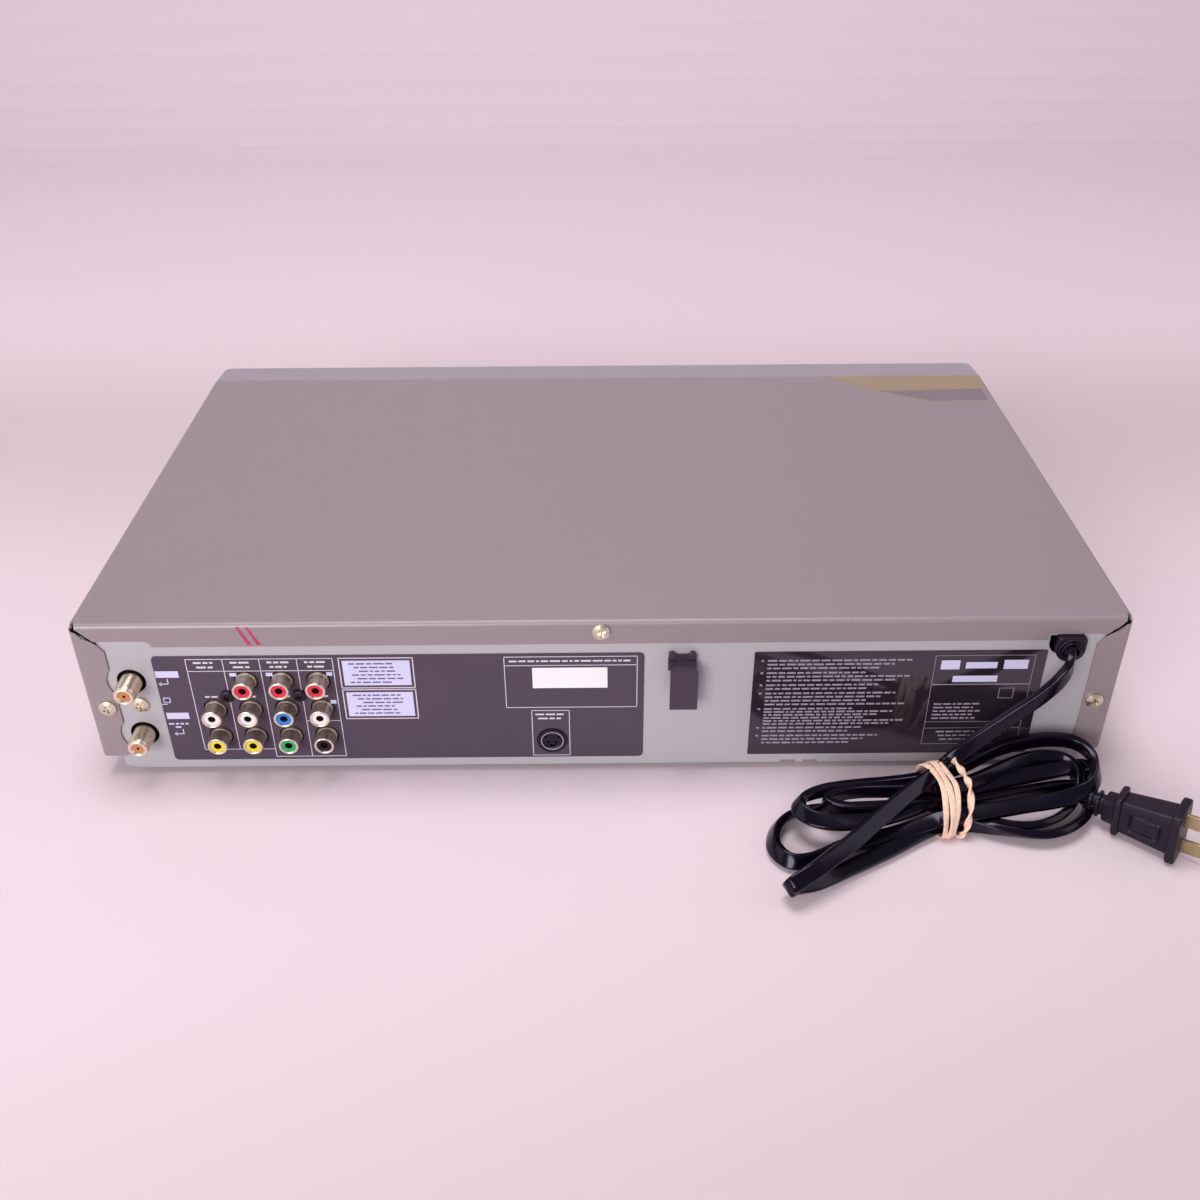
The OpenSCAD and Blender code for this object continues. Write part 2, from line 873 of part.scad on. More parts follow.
module cable_clip() {
    half = clip_w / 2;
    out = panel_y + clip_t + clip_gap + clip_t;
    color("#201d24") {
        // back plate, bridge and hanging front plate
        span(
            [clip_x - half, panel_y, clip_top - clip_drop],
            [clip_x + half - 2, panel_y + clip_t, clip_top]
        );
        span(
            [clip_x - half, panel_y, clip_top - clip_bridge - 3],
            [clip_x + half, panel_y + clip_t + 2, clip_top - 2]
        );
        span([clip_x - half, panel_y, clip_top - clip_bridge - 3], [clip_x + half - 1, out, clip_top - 3]);
        span(
            [clip_x - half - 0.4, out - clip_t, clip_top - 3 - clip_plate],
            [clip_x + half - 0.6, out, clip_top - 3]
        );
        for (s = [-1, 1]) {
            rod_y(clip_x + s * (half - 1.6), clip_top, 1.5, panel_y, panel_y + 2.4);
            span(
                [clip_x + s * 3.5 - 1.1, panel_in - 1.6, clip_top - 8],
                [clip_x + s * 3.5 + 1.1, panel_y + eps, clip_top - 4]
            );
        }
    }
}

// The strain relief's D shape, grown by a margin
module grommet_outline(grow) {
    low = relief_z - relief_h / 2;
    r = relief_w / 2 + grow;
    high = low + relief_h + grow;
    difference() {
        union() {
            translate([relief_x - r, low + relief_w / 2])
                square([2 * r, high - low - relief_w / 2]);
            translate([relief_x, low + relief_w / 2])
                circle(r, $fn = 64);
        }
        translate([relief_x - 2 * r, high])
            square([4 * r, 2 * r]);
    }
}

module cord_grommet() {
    color("#1a181d") {
        along_y(panel_y, panel_y + relief_proud)
            grommet_outline(0);
        along_y(panel_in - relief_back, panel_y + eps)
            grommet_outline(-relief_neck);
    }
}

// ---- power cord ----

function unit(v) = v / norm(v);
function cross_up(d) = unit(cross(d, abs(d[2]) > 0.95 ? [0, 1, 0] : [0, 0, 1]));
// A point on the smooth curve through the points around stretch i, at t from 0 to 1
function curve_point(p, i, t) =
    let (
        n = len(p),
        a = p[max(i - 1, 0)],
        b = p[i],
        c = p[i + 1],
        d = p[min(i + 2, n - 1)]
    )
    0.5 * (2 * b + (c - a) * t + (2 * a - 5 * b + 4 * c - d) * t * t + (3 * b - a - 3 * c + d) * t * t * t);
function curve(p, steps) = concat(
    [for (i = [0:len(p) - 2], k = [0:steps - 1]) curve_point(p, i, k / steps)],
    [p[len(p) - 1]]
);

// A tube through the points, as one closed polyhedron
module tube(points, r, sides) {
    n = len(points);
    function heading(i) = unit(points[min(i + 1, n - 1)] - points[max(i - 1, 0)]);
    rings = [
        for (i = [0:n - 1])
            let (h = heading(i), u = cross_up(h), v = cross(u, h))
                for (k = [0:sides - 1])
                    points[i] + r * (cos(360 * k / sides) * u + sin(360 * k / sides) * v)
    ];
    walls = [
        for (i = [0:n - 2], k = [0:sides - 1])
            let (a = i * sides + k, b = i * sides + (k + 1) % sides)
                [a, b, b + sides, a + sides]
    ];
    polyhedron(
        rings,
        concat([[for (k = [sides - 1:-1:0]) k]], walls, [[for (k = [0:sides - 1]) (n - 1) * sides + k]])
    );
}

function cord_route() =
    let (low = band_t + hank_h)
        [for (p = cord_points) [relief_x + p[0], panel_y + p[1], low + p[2] * (relief_z - low)]];

module power_cord() {
    color("#18161a")
        tube(curve(cord_route(), 2), cord_d / 2, cord_sides);
}

module cord_hank() {
    color("#18161a")
        difference() {
            translate([hank_at[0], hank_at[1], band_t])
                rotate([0, 0, hank_turn])
                    linear_extrude(hank_h) {
                        square([band_w + 2 * eps, 2 * hank_waist], center = true);
                        for (i = [0, 1])
                            hull() {
                                translate(hank_ends[i])
                                    circle(hank_end_r[i], $fn = 32);
                                translate([(i ? -1 : 1) * (band_w / 2 + eps), 0])
                                    square([2 * eps, 2 * hank_waist], center = true);
                            }
                    }
            // room for the end of the cord at the plug
            plug_place() {
                plug_slice(-plug_body_l - 30, -plug_body_l, tail_notch[0], tail_notch[1]);
                plug_slice(-plug_body_l - 1.6, -plug_body_l + 12, plug_w - 4, plug_t - 4);
            }
        }
}

module hank_band() {
    color("#d9b08c")
        translate([hank_at[0], hank_at[1], 0])
            rotate([0, 0, hank_turn])
                along_x(-band_w / 2, band_w / 2)
                    difference() {
                        round_rect(
                            [-hank_waist - band_t, 0],
                            [hank_waist + band_t, hank_h + 2 * band_t],
                            1.1
                        );
                        translate([-hank_waist, band_t])
                            square([2 * hank_waist, hank_h]);
                    }
}

// Places the plug: its axis along +X from the rear of its body to its blades
module plug_place() {
    translate([plug_at[0], plug_at[1], plug_w / 2 * cos(plug_tip) + 1.8 * sin(plug_tip)])
        rotate([0, 0, plug_turn])
            rotate([0, -plug_tip, 0])
                children();
}

// One upright slice of the plug, between two places along its axis
module plug_slice(x0, x1, w, t) {
    translate([x0, -t / 2, -w / 2])
        cube([x1 - x0, t, w]);
}

module plug_body() {
    rear = -plug_body_l;
    color("#1d1b20")
        plug_place() {
            plug_slice(-1.8, 1.8, plug_w, plug_t);
            hull() {
                plug_slice(-1.8, -1.7, plug_w - 4.6, plug_t - 4.5);
                plug_slice(rear + 1, rear + 1.1, plug_w - 9, plug_t - 8);
            }
            plug_slice(rear - 1.2, rear + 1.2, plug_w - 4.7, plug_t - 5);
            plug_slice(rear - 6.4, rear - 1, 11, 9.5);
            for (i = [0, 1])
                plug_slice(rear - 9.4 - 2.9 * i, rear - 8 - 2.9 * i, 11.4, 9);
            plug_slice(rear - 14, rear - 6, 7, 5.6);
        }
}

module plug_blades() {
    color("#b9ac8c")
        plug_place()
            for (s = [-1, 1])
                translate([1.8, -0.75, s * 6.35 - 3.15])
                    cube([blade_l, 1.5, 6.3]);
}

// ---- circuit boards ----

// Puts parts on a board, from a corner of it
module on_board(x, y) {
    translate([x, y, board_top - eps])
        children();
}

module main_board() {
    color("#3f6b46")
        difference() {
            union() {
                span([main_left, main_front, board_z], [main_right, board_rear, board_top]);
                // the decoder chip under its heat spreader, the sound chip and two connectors
                on_board(main_left, board_rear) {
                    span([20, -94, 0], [54, -60, 4]);
                    span([6, -28, 0], [36, -20, 9]);
                    span([90, -28, 0], [134, -20, 6]);
                    for (x = [10, 24, 38])
                        post(x, -44, 4, 11);
                }
                on_board(main_left, main_front)
                    span([14, 60, 0], [42, 88, 2.4]);
            }
            for (p = deck_legs())
                translate([p[0], p[1], board_z - 1])
                    cylinder(h = board_t + 2, r = leg_r + 1, $fn = 32);
        }
}

module power_board() {
    color("#8a7a4e")
        difference() {
            union() {
                span([power_left, power_front, board_z], [power_right, board_rear, board_top]);
                // smoothing capacitors, the rectifiers' heat sink and the fuse holder
                on_board(power_left, power_front) {
                    for (p = [[26, 9], [50, 6], [66, 6], [82, 5], [96, 5]])
                        post(p[0], 60, p[1], 20);
                    span([14, 22, 0], [36, 30, 9]);
                }
                on_board(power_left, board_rear) {
                    for (i = [0:5])
                        span([88 + 6 * i, -36, 0], [89.6 + 6 * i, -12, 32]);
                    span([88, -25, 0], [120, -23, 32]);
                }
            }
            for (p = loader_legs())
                translate([p[0], p[1], board_z - 1])
                    cylinder(h = board_t + 2, r = leg_r + 1, $fn = 32);
        }
}

module transformer() {
    at = [power_left + 48, loader_rear + 24];
    color("#c9a63c")
        translate([at[0], at[1], board_top]) {
            span([-22, -16, 0], [22, 16, 6]);
            span([-22, -16, 26], [22, 16, 32]);
            span([-22, -8, 5], [-14, 8, 27]);
            span([14, -8, 5], [22, 8, 27]);
            translate([0, 0, 5])
                cylinder(h = 22, r = 12.5, $fn = 64);
        }
}

module front_board() {
    middle = [lens_x[1] + 12, deck_x - slot_half - 6];
    color("#3f6b46") {
        span([-inner_x + 6, board_front, board_z - 3], [inner_x - 6, board_front + board_t, slot_low - 2]);
        // the part between the tray and the cassette slot, with two of the switches
        span(
            [middle[0], board_front, slot_low - 2 - eps],
            [middle[1], board_front + board_t, power_button_at[1] + 8]
        );
        for (b = all_buttons())
            translate([b[0], board_front + eps, b[1]]) {
                span([-3, -switch_h - eps, -3], [3, 0, 3]);
                rod_y(0, 0, 1.6, -switch_h - plunger_h, 0);
            }
        // the display tube behind the lens
        span(
            [lens_x[0] + 8, board_front - 7, lens_z[0] + 3],
            [lens_x[1] - 8, board_front + eps, lens_z[1] - 3]
        );
    }
}

// ---- tape deck ----

module deck_plate() {
    color("#c2c2c4")
        difference() {
            union() {
                span(
                    [deck_x - deck_half, deck_front, deck_z],
                    [deck_x + deck_half, capstan_y + 18, deck_top]
                );
                span([deck_x - tail_half, deck_front, deck_z], [deck_x + tail_half, tail_y, deck_top]);
                for (s = [-1, 1])
                    translate([deck_x, 0, 0])
                        mirror([s < 0 ? 1 : 0, 0, 0])
                            bracket();
                for (p = deck_legs())
                    translate([p[0], p[1], floor_z])
                        cylinder(h = deck_z - floor_z + eps, r = leg_r, $fn = 32);
                for (s = [-1, 1])
                    translate([deck_x + s * reel_pitch / 2, reel_y, deck_top - eps])
                        cylinder(h = 12, r = reel_post, $fn = 32);
                translate([capstan_x, capstan_y, deck_z - 4])
                    cylinder(h = deck_t + 10.5, r = 4, $fn = 48);
                translate([capstan_x, roller_y, deck_top - eps])
                    cylinder(h = 6.5, r = 4, $fn = 48);
                translate([capstan_x, roller_y, deck_top - eps])
                    cylinder(h = 26, r = capstan_r, $fn = 32);
            }
            translate([capstan_x, capstan_y, deck_z - 5])
                cylinder(h = 40, r = capstan_r + run, $fn = 48);
        }
}

// A side bracket with the carrier's two level slots, about the deck's middle
module bracket() {
    low = carrier_pin_z - pin_r - slip;
    difference() {
        span([bracket_half, deck_front, deck_z], [deck_half, capstan_y + 14, deck_top + bracket_h]);
        for (y = carrier_pins)
            along_x(bracket_half - 1, deck_half + 1)
                translate([y - pin_r - slip, low])
                    square([cage_travel + 2 * (pin_r + slip), 2 * (pin_r + slip)]);
    }
}

module lean_drum() {
    translate([deck_x, drum_y, deck_top])
        rotate([drum_lean, 0, 0])
            children();
}

module drum_base() {
    color("#b9bbbe")
        difference() {
            lean_drum()
                difference() {
                    translate([0, 0, -6])
                        cylinder(h = base_h + 6, r = drum_r, $fn = 96);
                    translate([0, 0, -8])
                        cylinder(h = base_h + 9, r = drum_shaft + run, $fn = 48);
                }
            span([deck_x - 50, drum_y - 50, deck_top - 20], [deck_x + 50, drum_y + 50, deck_top]);
        }
}

module head_drum() {
    color("#d2d4d6")
        lean_drum() {
            translate([0, 0, base_h + drum_gap])
                cylinder(h = drum_h, r = drum_r, $fn = 96);
            translate([0, 0, 3])
                cylinder(h = base_h + drum_gap, r = drum_shaft, $fn = 48);
            translate([0, 0, base_h + drum_gap + drum_h - eps])
                cylinder(h = 3, r = 10, $fn = 48);
        }
}

module reel(x) {
    color("#2a2a2e")
        translate([x, reel_y, deck_top + gap])
            difference() {
                union() {
                    cylinder(h = 3.5, r = reel_r, $fn = 64);
                    cylinder(h = cage_z - deck_top - gap - 1, r = spindle_r, $fn = 48);
                    for (a = [0:60:300])
                        rotate([0, 0, a])
                            translate([0, -0.9, 0])
                                cube([spindle_r + 2, 1.8, cage_z - deck_top - gap - 2.5]);
                }
                translate([0, 0, -1])
                    cylinder(h = 13.5, r = reel_post + run, $fn = 48);
            }
}

module supply_reel() { reel(deck_x - reel_pitch / 2); }
module takeup_reel() { reel(deck_x + reel_pitch / 2); }

module capstan() {
    wheel_z = board_top + 2;
    color("#a7a9ac")
        translate([capstan_x, capstan_y, 0]) {
            translate([0, 0, wheel_z])
                cylinder(h = deck_z - 4 - gap - wheel_z, r = flywheel_r, $fn = 96);
            translate([0, 0, wheel_z])
                cylinder(h = deck_top + 26 - wheel_z, r = capstan_r, $fn = 48);
        }
}

module pinch_roller() {
    color("#1e1e20")
        translate([capstan_x, roller_y, deck_top + 6.5 + gap])
            difference() {
                cylinder(h = 16, r = roller_r, $fn = 64);
                translate([0, 0, -1])
                    cylinder(h = 18, r = capstan_r + run, $fn = 48);
            }
}

module cage_carrier() {
    color("#8f9194")
        translate([deck_x, 0, 0]) {
            for (s = [-1, 1])
                mirror([s < 0 ? 1 : 0, 0, 0])
                    difference() {
                        union() {
                            span(
                                [carrier_half, cage_front + 2, carrier_z],
                                [carrier_half + rail_t, cage_rear - 2, carrier_top + bar_t]
                            );
                            for (y = carrier_pins)
                                rod_x_axis(
                                    y, carrier_pin_z, pin_r,
                                    carrier_half + rail_t - eps, deck_half - gap
                                );
                        }
                        for (y = cage_pins)
                            along_x(carrier_half - 1, carrier_half + rail_t + 1)
                                translate([y - pin_r - slip, cage_pin_z - cage_drop - pin_r - slip])
                                    square([2 * (pin_r + slip), cage_drop + 2 * (pin_r + slip)]);
                    }
            span(
                [-carrier_half - eps, cage_rear - 24, carrier_top],
                [carrier_half + eps, cage_rear - 12, carrier_top + bar_t]
            );
        }
}

module cassette_cage() {
    out = cage_half + cage_t;
    color("#6f7174")
        translate([deck_x, 0, 0]) {
            for (s = [-1, 1])
                mirror([s < 0 ? 1 : 0, 0, 0]) {
                    span([cage_half, cage_front, cage_z], [out, cage_rear, cage_z + cage_h]);
                    span([cage_half - cage_lip, cage_front, cage_z], [out, cage_rear, cage_z + cage_t]);
                    span([cage_half - cage_lip, cage_rear, cage_z], [out, cage_rear + cage_t, cage_z + 12]);
                    for (y = cage_pins)
                        rod_x_axis(y, cage_pin_z, pin_r, cage_half + 0.5, carrier_half + rail_t - gap);
                }
            for (y = [cage_front + 18, cage_rear - 12])
                span([-out, y, cage_z + cage_h - cage_t], [out, y + 12, cage_z + cage_h]);
        }
}

module cassette_door() {
    color("#8e8b92")
        translate([deck_x, 0, 0]) {
            span(
                [-door_half, door_hinge_y - door_t / 2, door_low],
                [door_half, door_hinge_y + door_t / 2, door_hinge_z]
            );
            rod_x_axis(door_hinge_y, door_hinge_z, door_t / 2, -door_half, door_half);
            rod_x_axis(
                door_hinge_y, door_hinge_z, door_pin_r,
                -slot_half - door_pin_l, slot_half + door_pin_l
            );
        }
}

// ---- disc loader ----

module loader_frame() {
    half = loader_w / 2;
    top = loader_z + loader_h;
    color("#2b2b2f")
        translate([loader_x, 0, 0])
            difference() {
                union() {
                    span([-half, loader_front, loader_z], [half, loader_rear, loader_base]);
                    for (s = [-1, 1])
                        mirror([s < 0 ? 1 : 0, 0, 0]) {
                            span([loader_in, loader_front, loader_z], [half, loader_rear, top]);
                            for (z = [rail_z - gap - 2, rail_z + rail_h + gap])
                                span([loader_in - ledge, loader_front, z], [half, loader_rear, z + 2]);
                        }
                    span([-half, loader_rear - loader_t, loader_z], [half, loader_rear, top - 6]);
                    span([-half, disc_y - bridge_half, bridge_z], [half, disc_y + bridge_half, top]);
                    for (p = loader_legs())
                        translate([p[0] - loader_x, p[1], floor_z])
                            cylinder(h = loader_z - floor_z + eps, r = leg_r, $fn = 32);
                    translate([gear_x - loader_x, gear_y, loader_base - eps])
                        cylinder(h = gear_z - gap - loader_base + eps, r = 4, $fn = 32);
                    translate([gear_x - loader_x, gear_y, loader_base - eps])
                        cylinder(h = gear_z + gear_h - 0.5 - loader_base, r = gear_post, $fn = 32);
                }
                translate([0, disc_y, bridge_z - 1])
                    cylinder(h = bridge_t + 2, r = puck_r + 1, $fn = 64);
            }
}

module disc_tray() {
    color("#232327")
        difference() {
            union() {
                translate([loader_x, 0, 0]) {
                    span([-tray_half, tray_front, tray_z], [tray_half, tray_rear, tray_z + tray_t]);
                    for (s = [-1, 1])
                        mirror([s < 0 ? 1 : 0, 0, 0])
                            span(
                                [tray_half - eps, loader_front + 2, rail_z],
                                [tray_half + rail_w, tray_rear, rail_z + rail_h]
                            );
                }
                rack();
            }
            translate([loader_x, disc_y, tray_z + tray_t - recess_d])
                cylinder(h = recess_d + 1, r = disc_r, $fn = 128);
            translate([loader_x, disc_y, tray_z - 1])
                cylinder(h = tray_t + 2, r = slot_r, $fn = 64);
            span(
                [loader_x - slot_r, disc_y, tray_z - 1],
                [loader_x + slot_r, tray_rear + 1, tray_z + tray_t + 1]
            );
        }
}

function tooth_half() = PI * gear_module / 4 - tooth_slack / 4;
add = 0.8;
ded = 1.25;

// The rack under the tray: straight-sided teeth that point along +X
module rack() {
    pitch = PI * gear_module;
    slope = tan(20);
    root = rack_x - ded * gear_module;
    tip = rack_x + add * gear_module;
    half_root = tooth_half() + ded * gear_module * slope;
    half_tip = tooth_half() - add * gear_module * slope;
    first = -floor((gear_y - loader_front - 4) / pitch);
    last = floor((tray_rear - 2 - gear_y) / pitch) - 1;
    translate([0, 0, gear_z + 0.4])
        linear_extrude(tray_z - gear_z - 0.4 + eps)
            union() {
                translate([root - 2, loader_front + 2])
                    square([2 + eps, tray_rear - loader_front - 2]);
                for (i = [first:last])
                    translate([0, gear_y + (i + 0.5) * pitch])
                        polygon([
                            [root, -half_root],
                            [tip, -half_tip],
                            [tip, half_tip],
                            [root, half_root],
                        ]);
            }
}

function involute(a) = tan(a) - a * PI / 180;
// Half the angle of a tooth at radius r
function tooth_angle(r) =
    (tooth_half() / gear_r + involute(20) - involute(acos(min(1, gear_r * cos(20) / r)))) * 180 / PI;

module tray_gear() {
    base_r = gear_r * cos(20);
    root_r = gear_r - ded * gear_module;
    tip_r = gear_r + add * gear_module;
    flank = [for (k = [0:4]) base_r + (tip_r - base_r) * k / 4];
    color("#d9d6cc")
        translate([gear_x, gear_y, gear_z])
            difference() {
                linear_extrude(gear_h)
                    polygon([
                        for (i = [0:gear_teeth - 1])
                            let (a = 360 * i / gear_teeth)
                                each concat(
                                    [root_r * [cos(a - tooth_angle(base_r)), sin(a - tooth_angle(base_r))]],
                                    [for (r = flank) r * [cos(a - tooth_angle(r)), sin(a - tooth_angle(r))]],
                                    [for (k = [4:-1:0])
                                        let (r = flank[k], t = a + tooth_angle(r)) r * [cos(t), sin(t)]],
                                    [root_r * [cos(a + tooth_angle(base_r)), sin(a + tooth_angle(base_r))]]
                                )
                    ]);
                translate([0, 0, -1])
                    cylinder(h = gear_h + 2, r = gear_post + run, $fn = 48);
            }
}

module tray_fascia() {
    color("#8e8b92")
        translate([loader_x, 0, 0])
            span(
                [-fascia_half + 0.5, front_y, fascia_z + 0.5],
                [fascia_half - 0.5, front_y + fascia_t, fascia_z + fascia_h - 0.5]
            );
    color("#8e8b92")
        translate([loader_x, 0, 0])
            span([-20, front_y + fascia_t - eps, tray_z], [20, tray_front, tray_z + tray_t]);
}

module traverse_plate() {
    color("#9fa1a4")
        translate([loader_x, 0, 0])
            difference() {
                union() {
                    span(
                        [-traverse_half, rod_y0 - 6, traverse_z],
                        [traverse_half, rod_y1 + 6, traverse_z + traverse_t]
                    );
                    translate([0, disc_y, traverse_z + traverse_t - eps])
                        cylinder(h = motor_h + eps, r = motor_r, $fn = 64);
                    for (s = [-1, 1], y = [rod_y0 - 4, rod_y1])
                        span([s * rod_x - 3, y, traverse_z], [s * rod_x + 3, y + 4, rod_z + 3]);
                }
                for (s = [-1, 1])
                    rod_y(s * rod_x, rod_z, rod_r + 0.02, rod_y0 - 2, rod_y1 + 2);
                translate([0, disc_y, traverse_z + traverse_t + 0.5])
                    cylinder(h = motor_h + 1, r = 1.5 + run, $fn = 32);
            }
}

module guide_rods() {
    color("#d5d7d9")
        for (s = [-1, 1])
            rod_y(loader_x + s * rod_x, rod_z, rod_r, rod_y0 - 2, rod_y1 + 2);
}

module turntable() {
    color("#3a3a3e")
        translate([loader_x, disc_y, table_z]) {
            cylinder(h = 4, r = table_r, $fn = 64);
            translate([0, 0, 4 - eps])
                rotate_extrude($fn = 64)
                    polygon([[0, 0], [boss_r, 0], [boss_r, 1.6], [boss_r - 1.2, 2.8], [0, 2.8]]);
            translate([0, 0, -6])
                cylinder(h = 6 + eps, r = 1.5, $fn = 32);
        }
}

module pickup_sled() {
    low = rod_z - 3;
    color("#4a4c50")
        translate([loader_x, sled_y, 0])
            difference() {
                union() {
                    span([-sled_half, -sled_d / 2, low], [sled_half, sled_d / 2, low + sled_h]);
                    translate([0, 0, low + sled_h - eps])
                        cylinder(h = 2.6, r = 3.5, $fn = 48);
                }
                for (s = [-1, 1])
                    rod_y(s * rod_x, rod_z, rod_r + run, -sled_d / 2 - 1, sled_d / 2 + 1);
            }
}

module clamp_puck() {
    color("#26262a")
        translate([loader_x, disc_y, 0])
            difference() {
                union() {
                    translate([0, 0, puck_z])
                        cylinder(h = bridge_z + bridge_t + gap - puck_z + eps, r = puck_r, $fn = 64);
                    translate([0, 0, bridge_z + bridge_t + gap])
                        cylinder(h = 1.6, r = puck_flange, $fn = 64);
                }
                translate([0, 0, puck_z - 1])
                    cylinder(h = 5, r = boss_r + 1, $fn = 48);
            }
}

// ---- front panel ----

function bar_buttons() = [for (i = [0:4]) [row_x + i * row_pitch, row_z]];
function all_buttons() = concat([power_button_at, open_button_at], bar_buttons());

module front_panel() {
    top = case_h - 0.6;
    half = side_x - 0.6;
    low = pan_z - 0.4;
    in_top = under_z - slip;
    color("#97939b")
        difference() {
            union() {
                intersection() {
                    along_x(-half, half)
                        polygon([
                            [bezel_back, low],
                            [front_y + 2, low],
                            [front_y, low + 3],
                            [front_y, top - bezel_drop - 1.2],
                            [front_y + 1.2, top - bezel_drop],
                            [bezel_back, top],
                        ]);
                    translate([0, 0, low - 1])
                        linear_extrude(top + 2)
                            round_rect([-half, front_y], [half, bezel_back + 12], 6);
                }
                // the tongue that reaches under the cover's front edge
                span(
                    [-inner_x + 8, bezel_back - bezel_t, in_top - 2],
                    [inner_x - 8, cover_front + 5, in_top]
                );
                // the lower edge laps over the front of the pan
                span([-inner_x + 8, bezel_back - bezel_t, low], [inner_x - 8, deck_front - 3, floor_z + 6]);
            }
            difference() {
                span(
                    [-half + bezel_t, front_y + bezel_t, low + bezel_t],
                    [half - bezel_t, bezel_back + 20, in_top - 2]
                );
                bezel_bosses();
            }
            bezel_openings();
        }
}

// Bosses behind the front wall: for the front board and the cassette door
module bezel_bosses() {
    for (x = [-inner_x + 14, power_button_at[0] + 14, inner_x - 14])
        rod_y(x, lens_z[0] - 6, 3, front_y + 1, board_front);
    // blocks that hold the cassette door's pins
    for (s = [-1, 1])
        translate([deck_x, 0, 0])
            mirror([s < 0 ? 1 : 0, 0, 0])
                span(
                    [slot_half, front_y + 1, door_hinge_z - 3],
                    [slot_half + hinge_block, front_y + 5, door_hinge_z + 3]
                );
}

module bezel_openings() {
    wall = front_y + bezel_t;
    // tray
    translate([loader_x, 0, 0])
        span([-fascia_half, front_y - 1, fascia_z], [fascia_half, wall + 1, fascia_z + fascia_h]);
    // cassette slot and the door's pin holes
    translate([deck_x, 0, 0]) {
        span([-slot_half, front_y - 1, slot_low], [slot_half, wall + 1, slot_high]);
        rod_x_axis(
            door_hinge_y, door_hinge_z, door_pin_r + run,
            -slot_half - door_pin_l - gap, slot_half + door_pin_l + gap
        );
    }
    // display window with a seat for the lens
    span([lens_x[0], front_y - 1, lens_z[0]], [lens_x[1], front_y + lens_t, lens_z[1]]);
    span(
        [lens_x[0] + lens_edge, front_y - 1, lens_z[0] + lens_edge],
        [lens_x[1] - lens_edge, wall + 1, lens_z[1] - lens_edge]
    );
    // buttons, each in a shallow well
    rod_y(power_button_at[0], power_button_at[1], round_button_r + well_edge, front_y - 1, front_y + well_d);
    button_well(open_button_at[0], open_button_at[0], open_button_at[1]);
    button_well(row_x, row_x + 4 * row_pitch, row_z);
    rod_y(power_button_at[0], power_button_at[1], round_button_r + gap, front_y - 1, wall + 1);
    for (b = concat([open_button_at], bar_buttons()))
        span(
            [b[0] - bar_button_w / 2 - gap, front_y - 1, b[1] - bar_button_h / 2 - gap],
            [b[0] + bar_button_w / 2 + gap, wall + 1, b[1] + bar_button_h / 2 + gap]
        );
}

// A well around bar buttons from x0 to x1
module button_well(x0, x1, z) {
    span(
        [x0 - bar_button_w / 2 - well_edge, front_y - 1, z - bar_button_h / 2 - well_edge],
        [x1 + bar_button_w / 2 + well_edge, front_y + well_d, z + bar_button_h / 2 + well_edge]
    );
}

module display_lens() {
    color("#15151a")
        span(
            [lens_x[0] + slip, front_y, lens_z[0] + slip],
            [lens_x[1] - slip, front_y + lens_t, lens_z[1] - slip]
        );
}

// A bar button: the cap, a flange behind the wall and the stem to its switch
module bar_button(at) {
    wall = front_y + bezel_t;
    w = bar_button_w / 2;
    h = bar_button_h / 2;
    color("#b6b3ba") {
        span([at[0] - w, front_y, at[1] - h], [at[0] + w, wall + slip + cap_skirt, at[1] + h]);
        span(
            [at[0] - w - 1, wall + slip, at[1] - h - 1],
            [at[0] + w + 1, wall + slip + cap_skirt, at[1] + h + 1]
        );
        rod_y(at[0], at[1], 1.8, wall, button_end);
    }
}

module power_button() {
    wall = front_y + bezel_t;
    at = power_button_at;
    color("#b6b3ba") {
        rod_y(at[0], at[1], round_button_r, front_y, wall + slip + cap_skirt);
        rod_y(at[0], at[1], round_button_r + 1, wall + slip, wall + slip + cap_skirt);
        rod_y(at[0], at[1], 1.8, wall, button_end);
    }
}

module open_button() { bar_button(open_button_at); }
module eject_button() { bar_button(bar_buttons()[0]); }
module rewind_button() { bar_button(bar_buttons()[1]); }
module play_button() { bar_button(bar_buttons()[2]); }
module forward_button() { bar_button(bar_buttons()[3]); }
module stop_button() { bar_button(bar_buttons()[4]); }

top_cover();
chassis_pan();
rear_panel();
front_panel();
feet();
cover_screws();
jack_screws();
jack_label();
rear_label();
tuner_can();
aerial_barrels();
aerial_insulators();
jack_block();
phono_barrels();
phono_red();
phono_white();
phono_yellow();
phono_blue();
phono_green();
phono_black();
svideo_shell();
svideo_socket();
cable_clip();
cord_grommet();
power_cord();
cord_hank();
hank_band();
plug_body();
plug_blades();
main_board();
power_board();
front_board();
transformer();
deck_plate();
drum_base();
head_drum();
supply_reel();
takeup_reel();
capstan();
pinch_roller();
cage_carrier();
cassette_cage();
cassette_door();
loader_frame();
disc_tray();
tray_fascia();
tray_gear();
traverse_plate();
turntable();
pickup_sled();
guide_rods();
clamp_puck();
display_lens();
power_button();
open_button();
eject_button();
play_button();
stop_button();
rewind_button();
forward_button();
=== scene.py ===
# %% [markdown]
# # A disc and tape player from behind
#
# The real thing is a folded steel cover over a steel pan, with a row of jacks, two printed labels
# and a flat two-core cord that is folded into a hank. The exact solids come from the CAD frame.
# Here they get their finishes, and the soft, turned and printed pieces are made anew.

# %% Load the frame
import math

import bmesh
import bpy
import numpy as np
from mathutils import Matrix, Vector


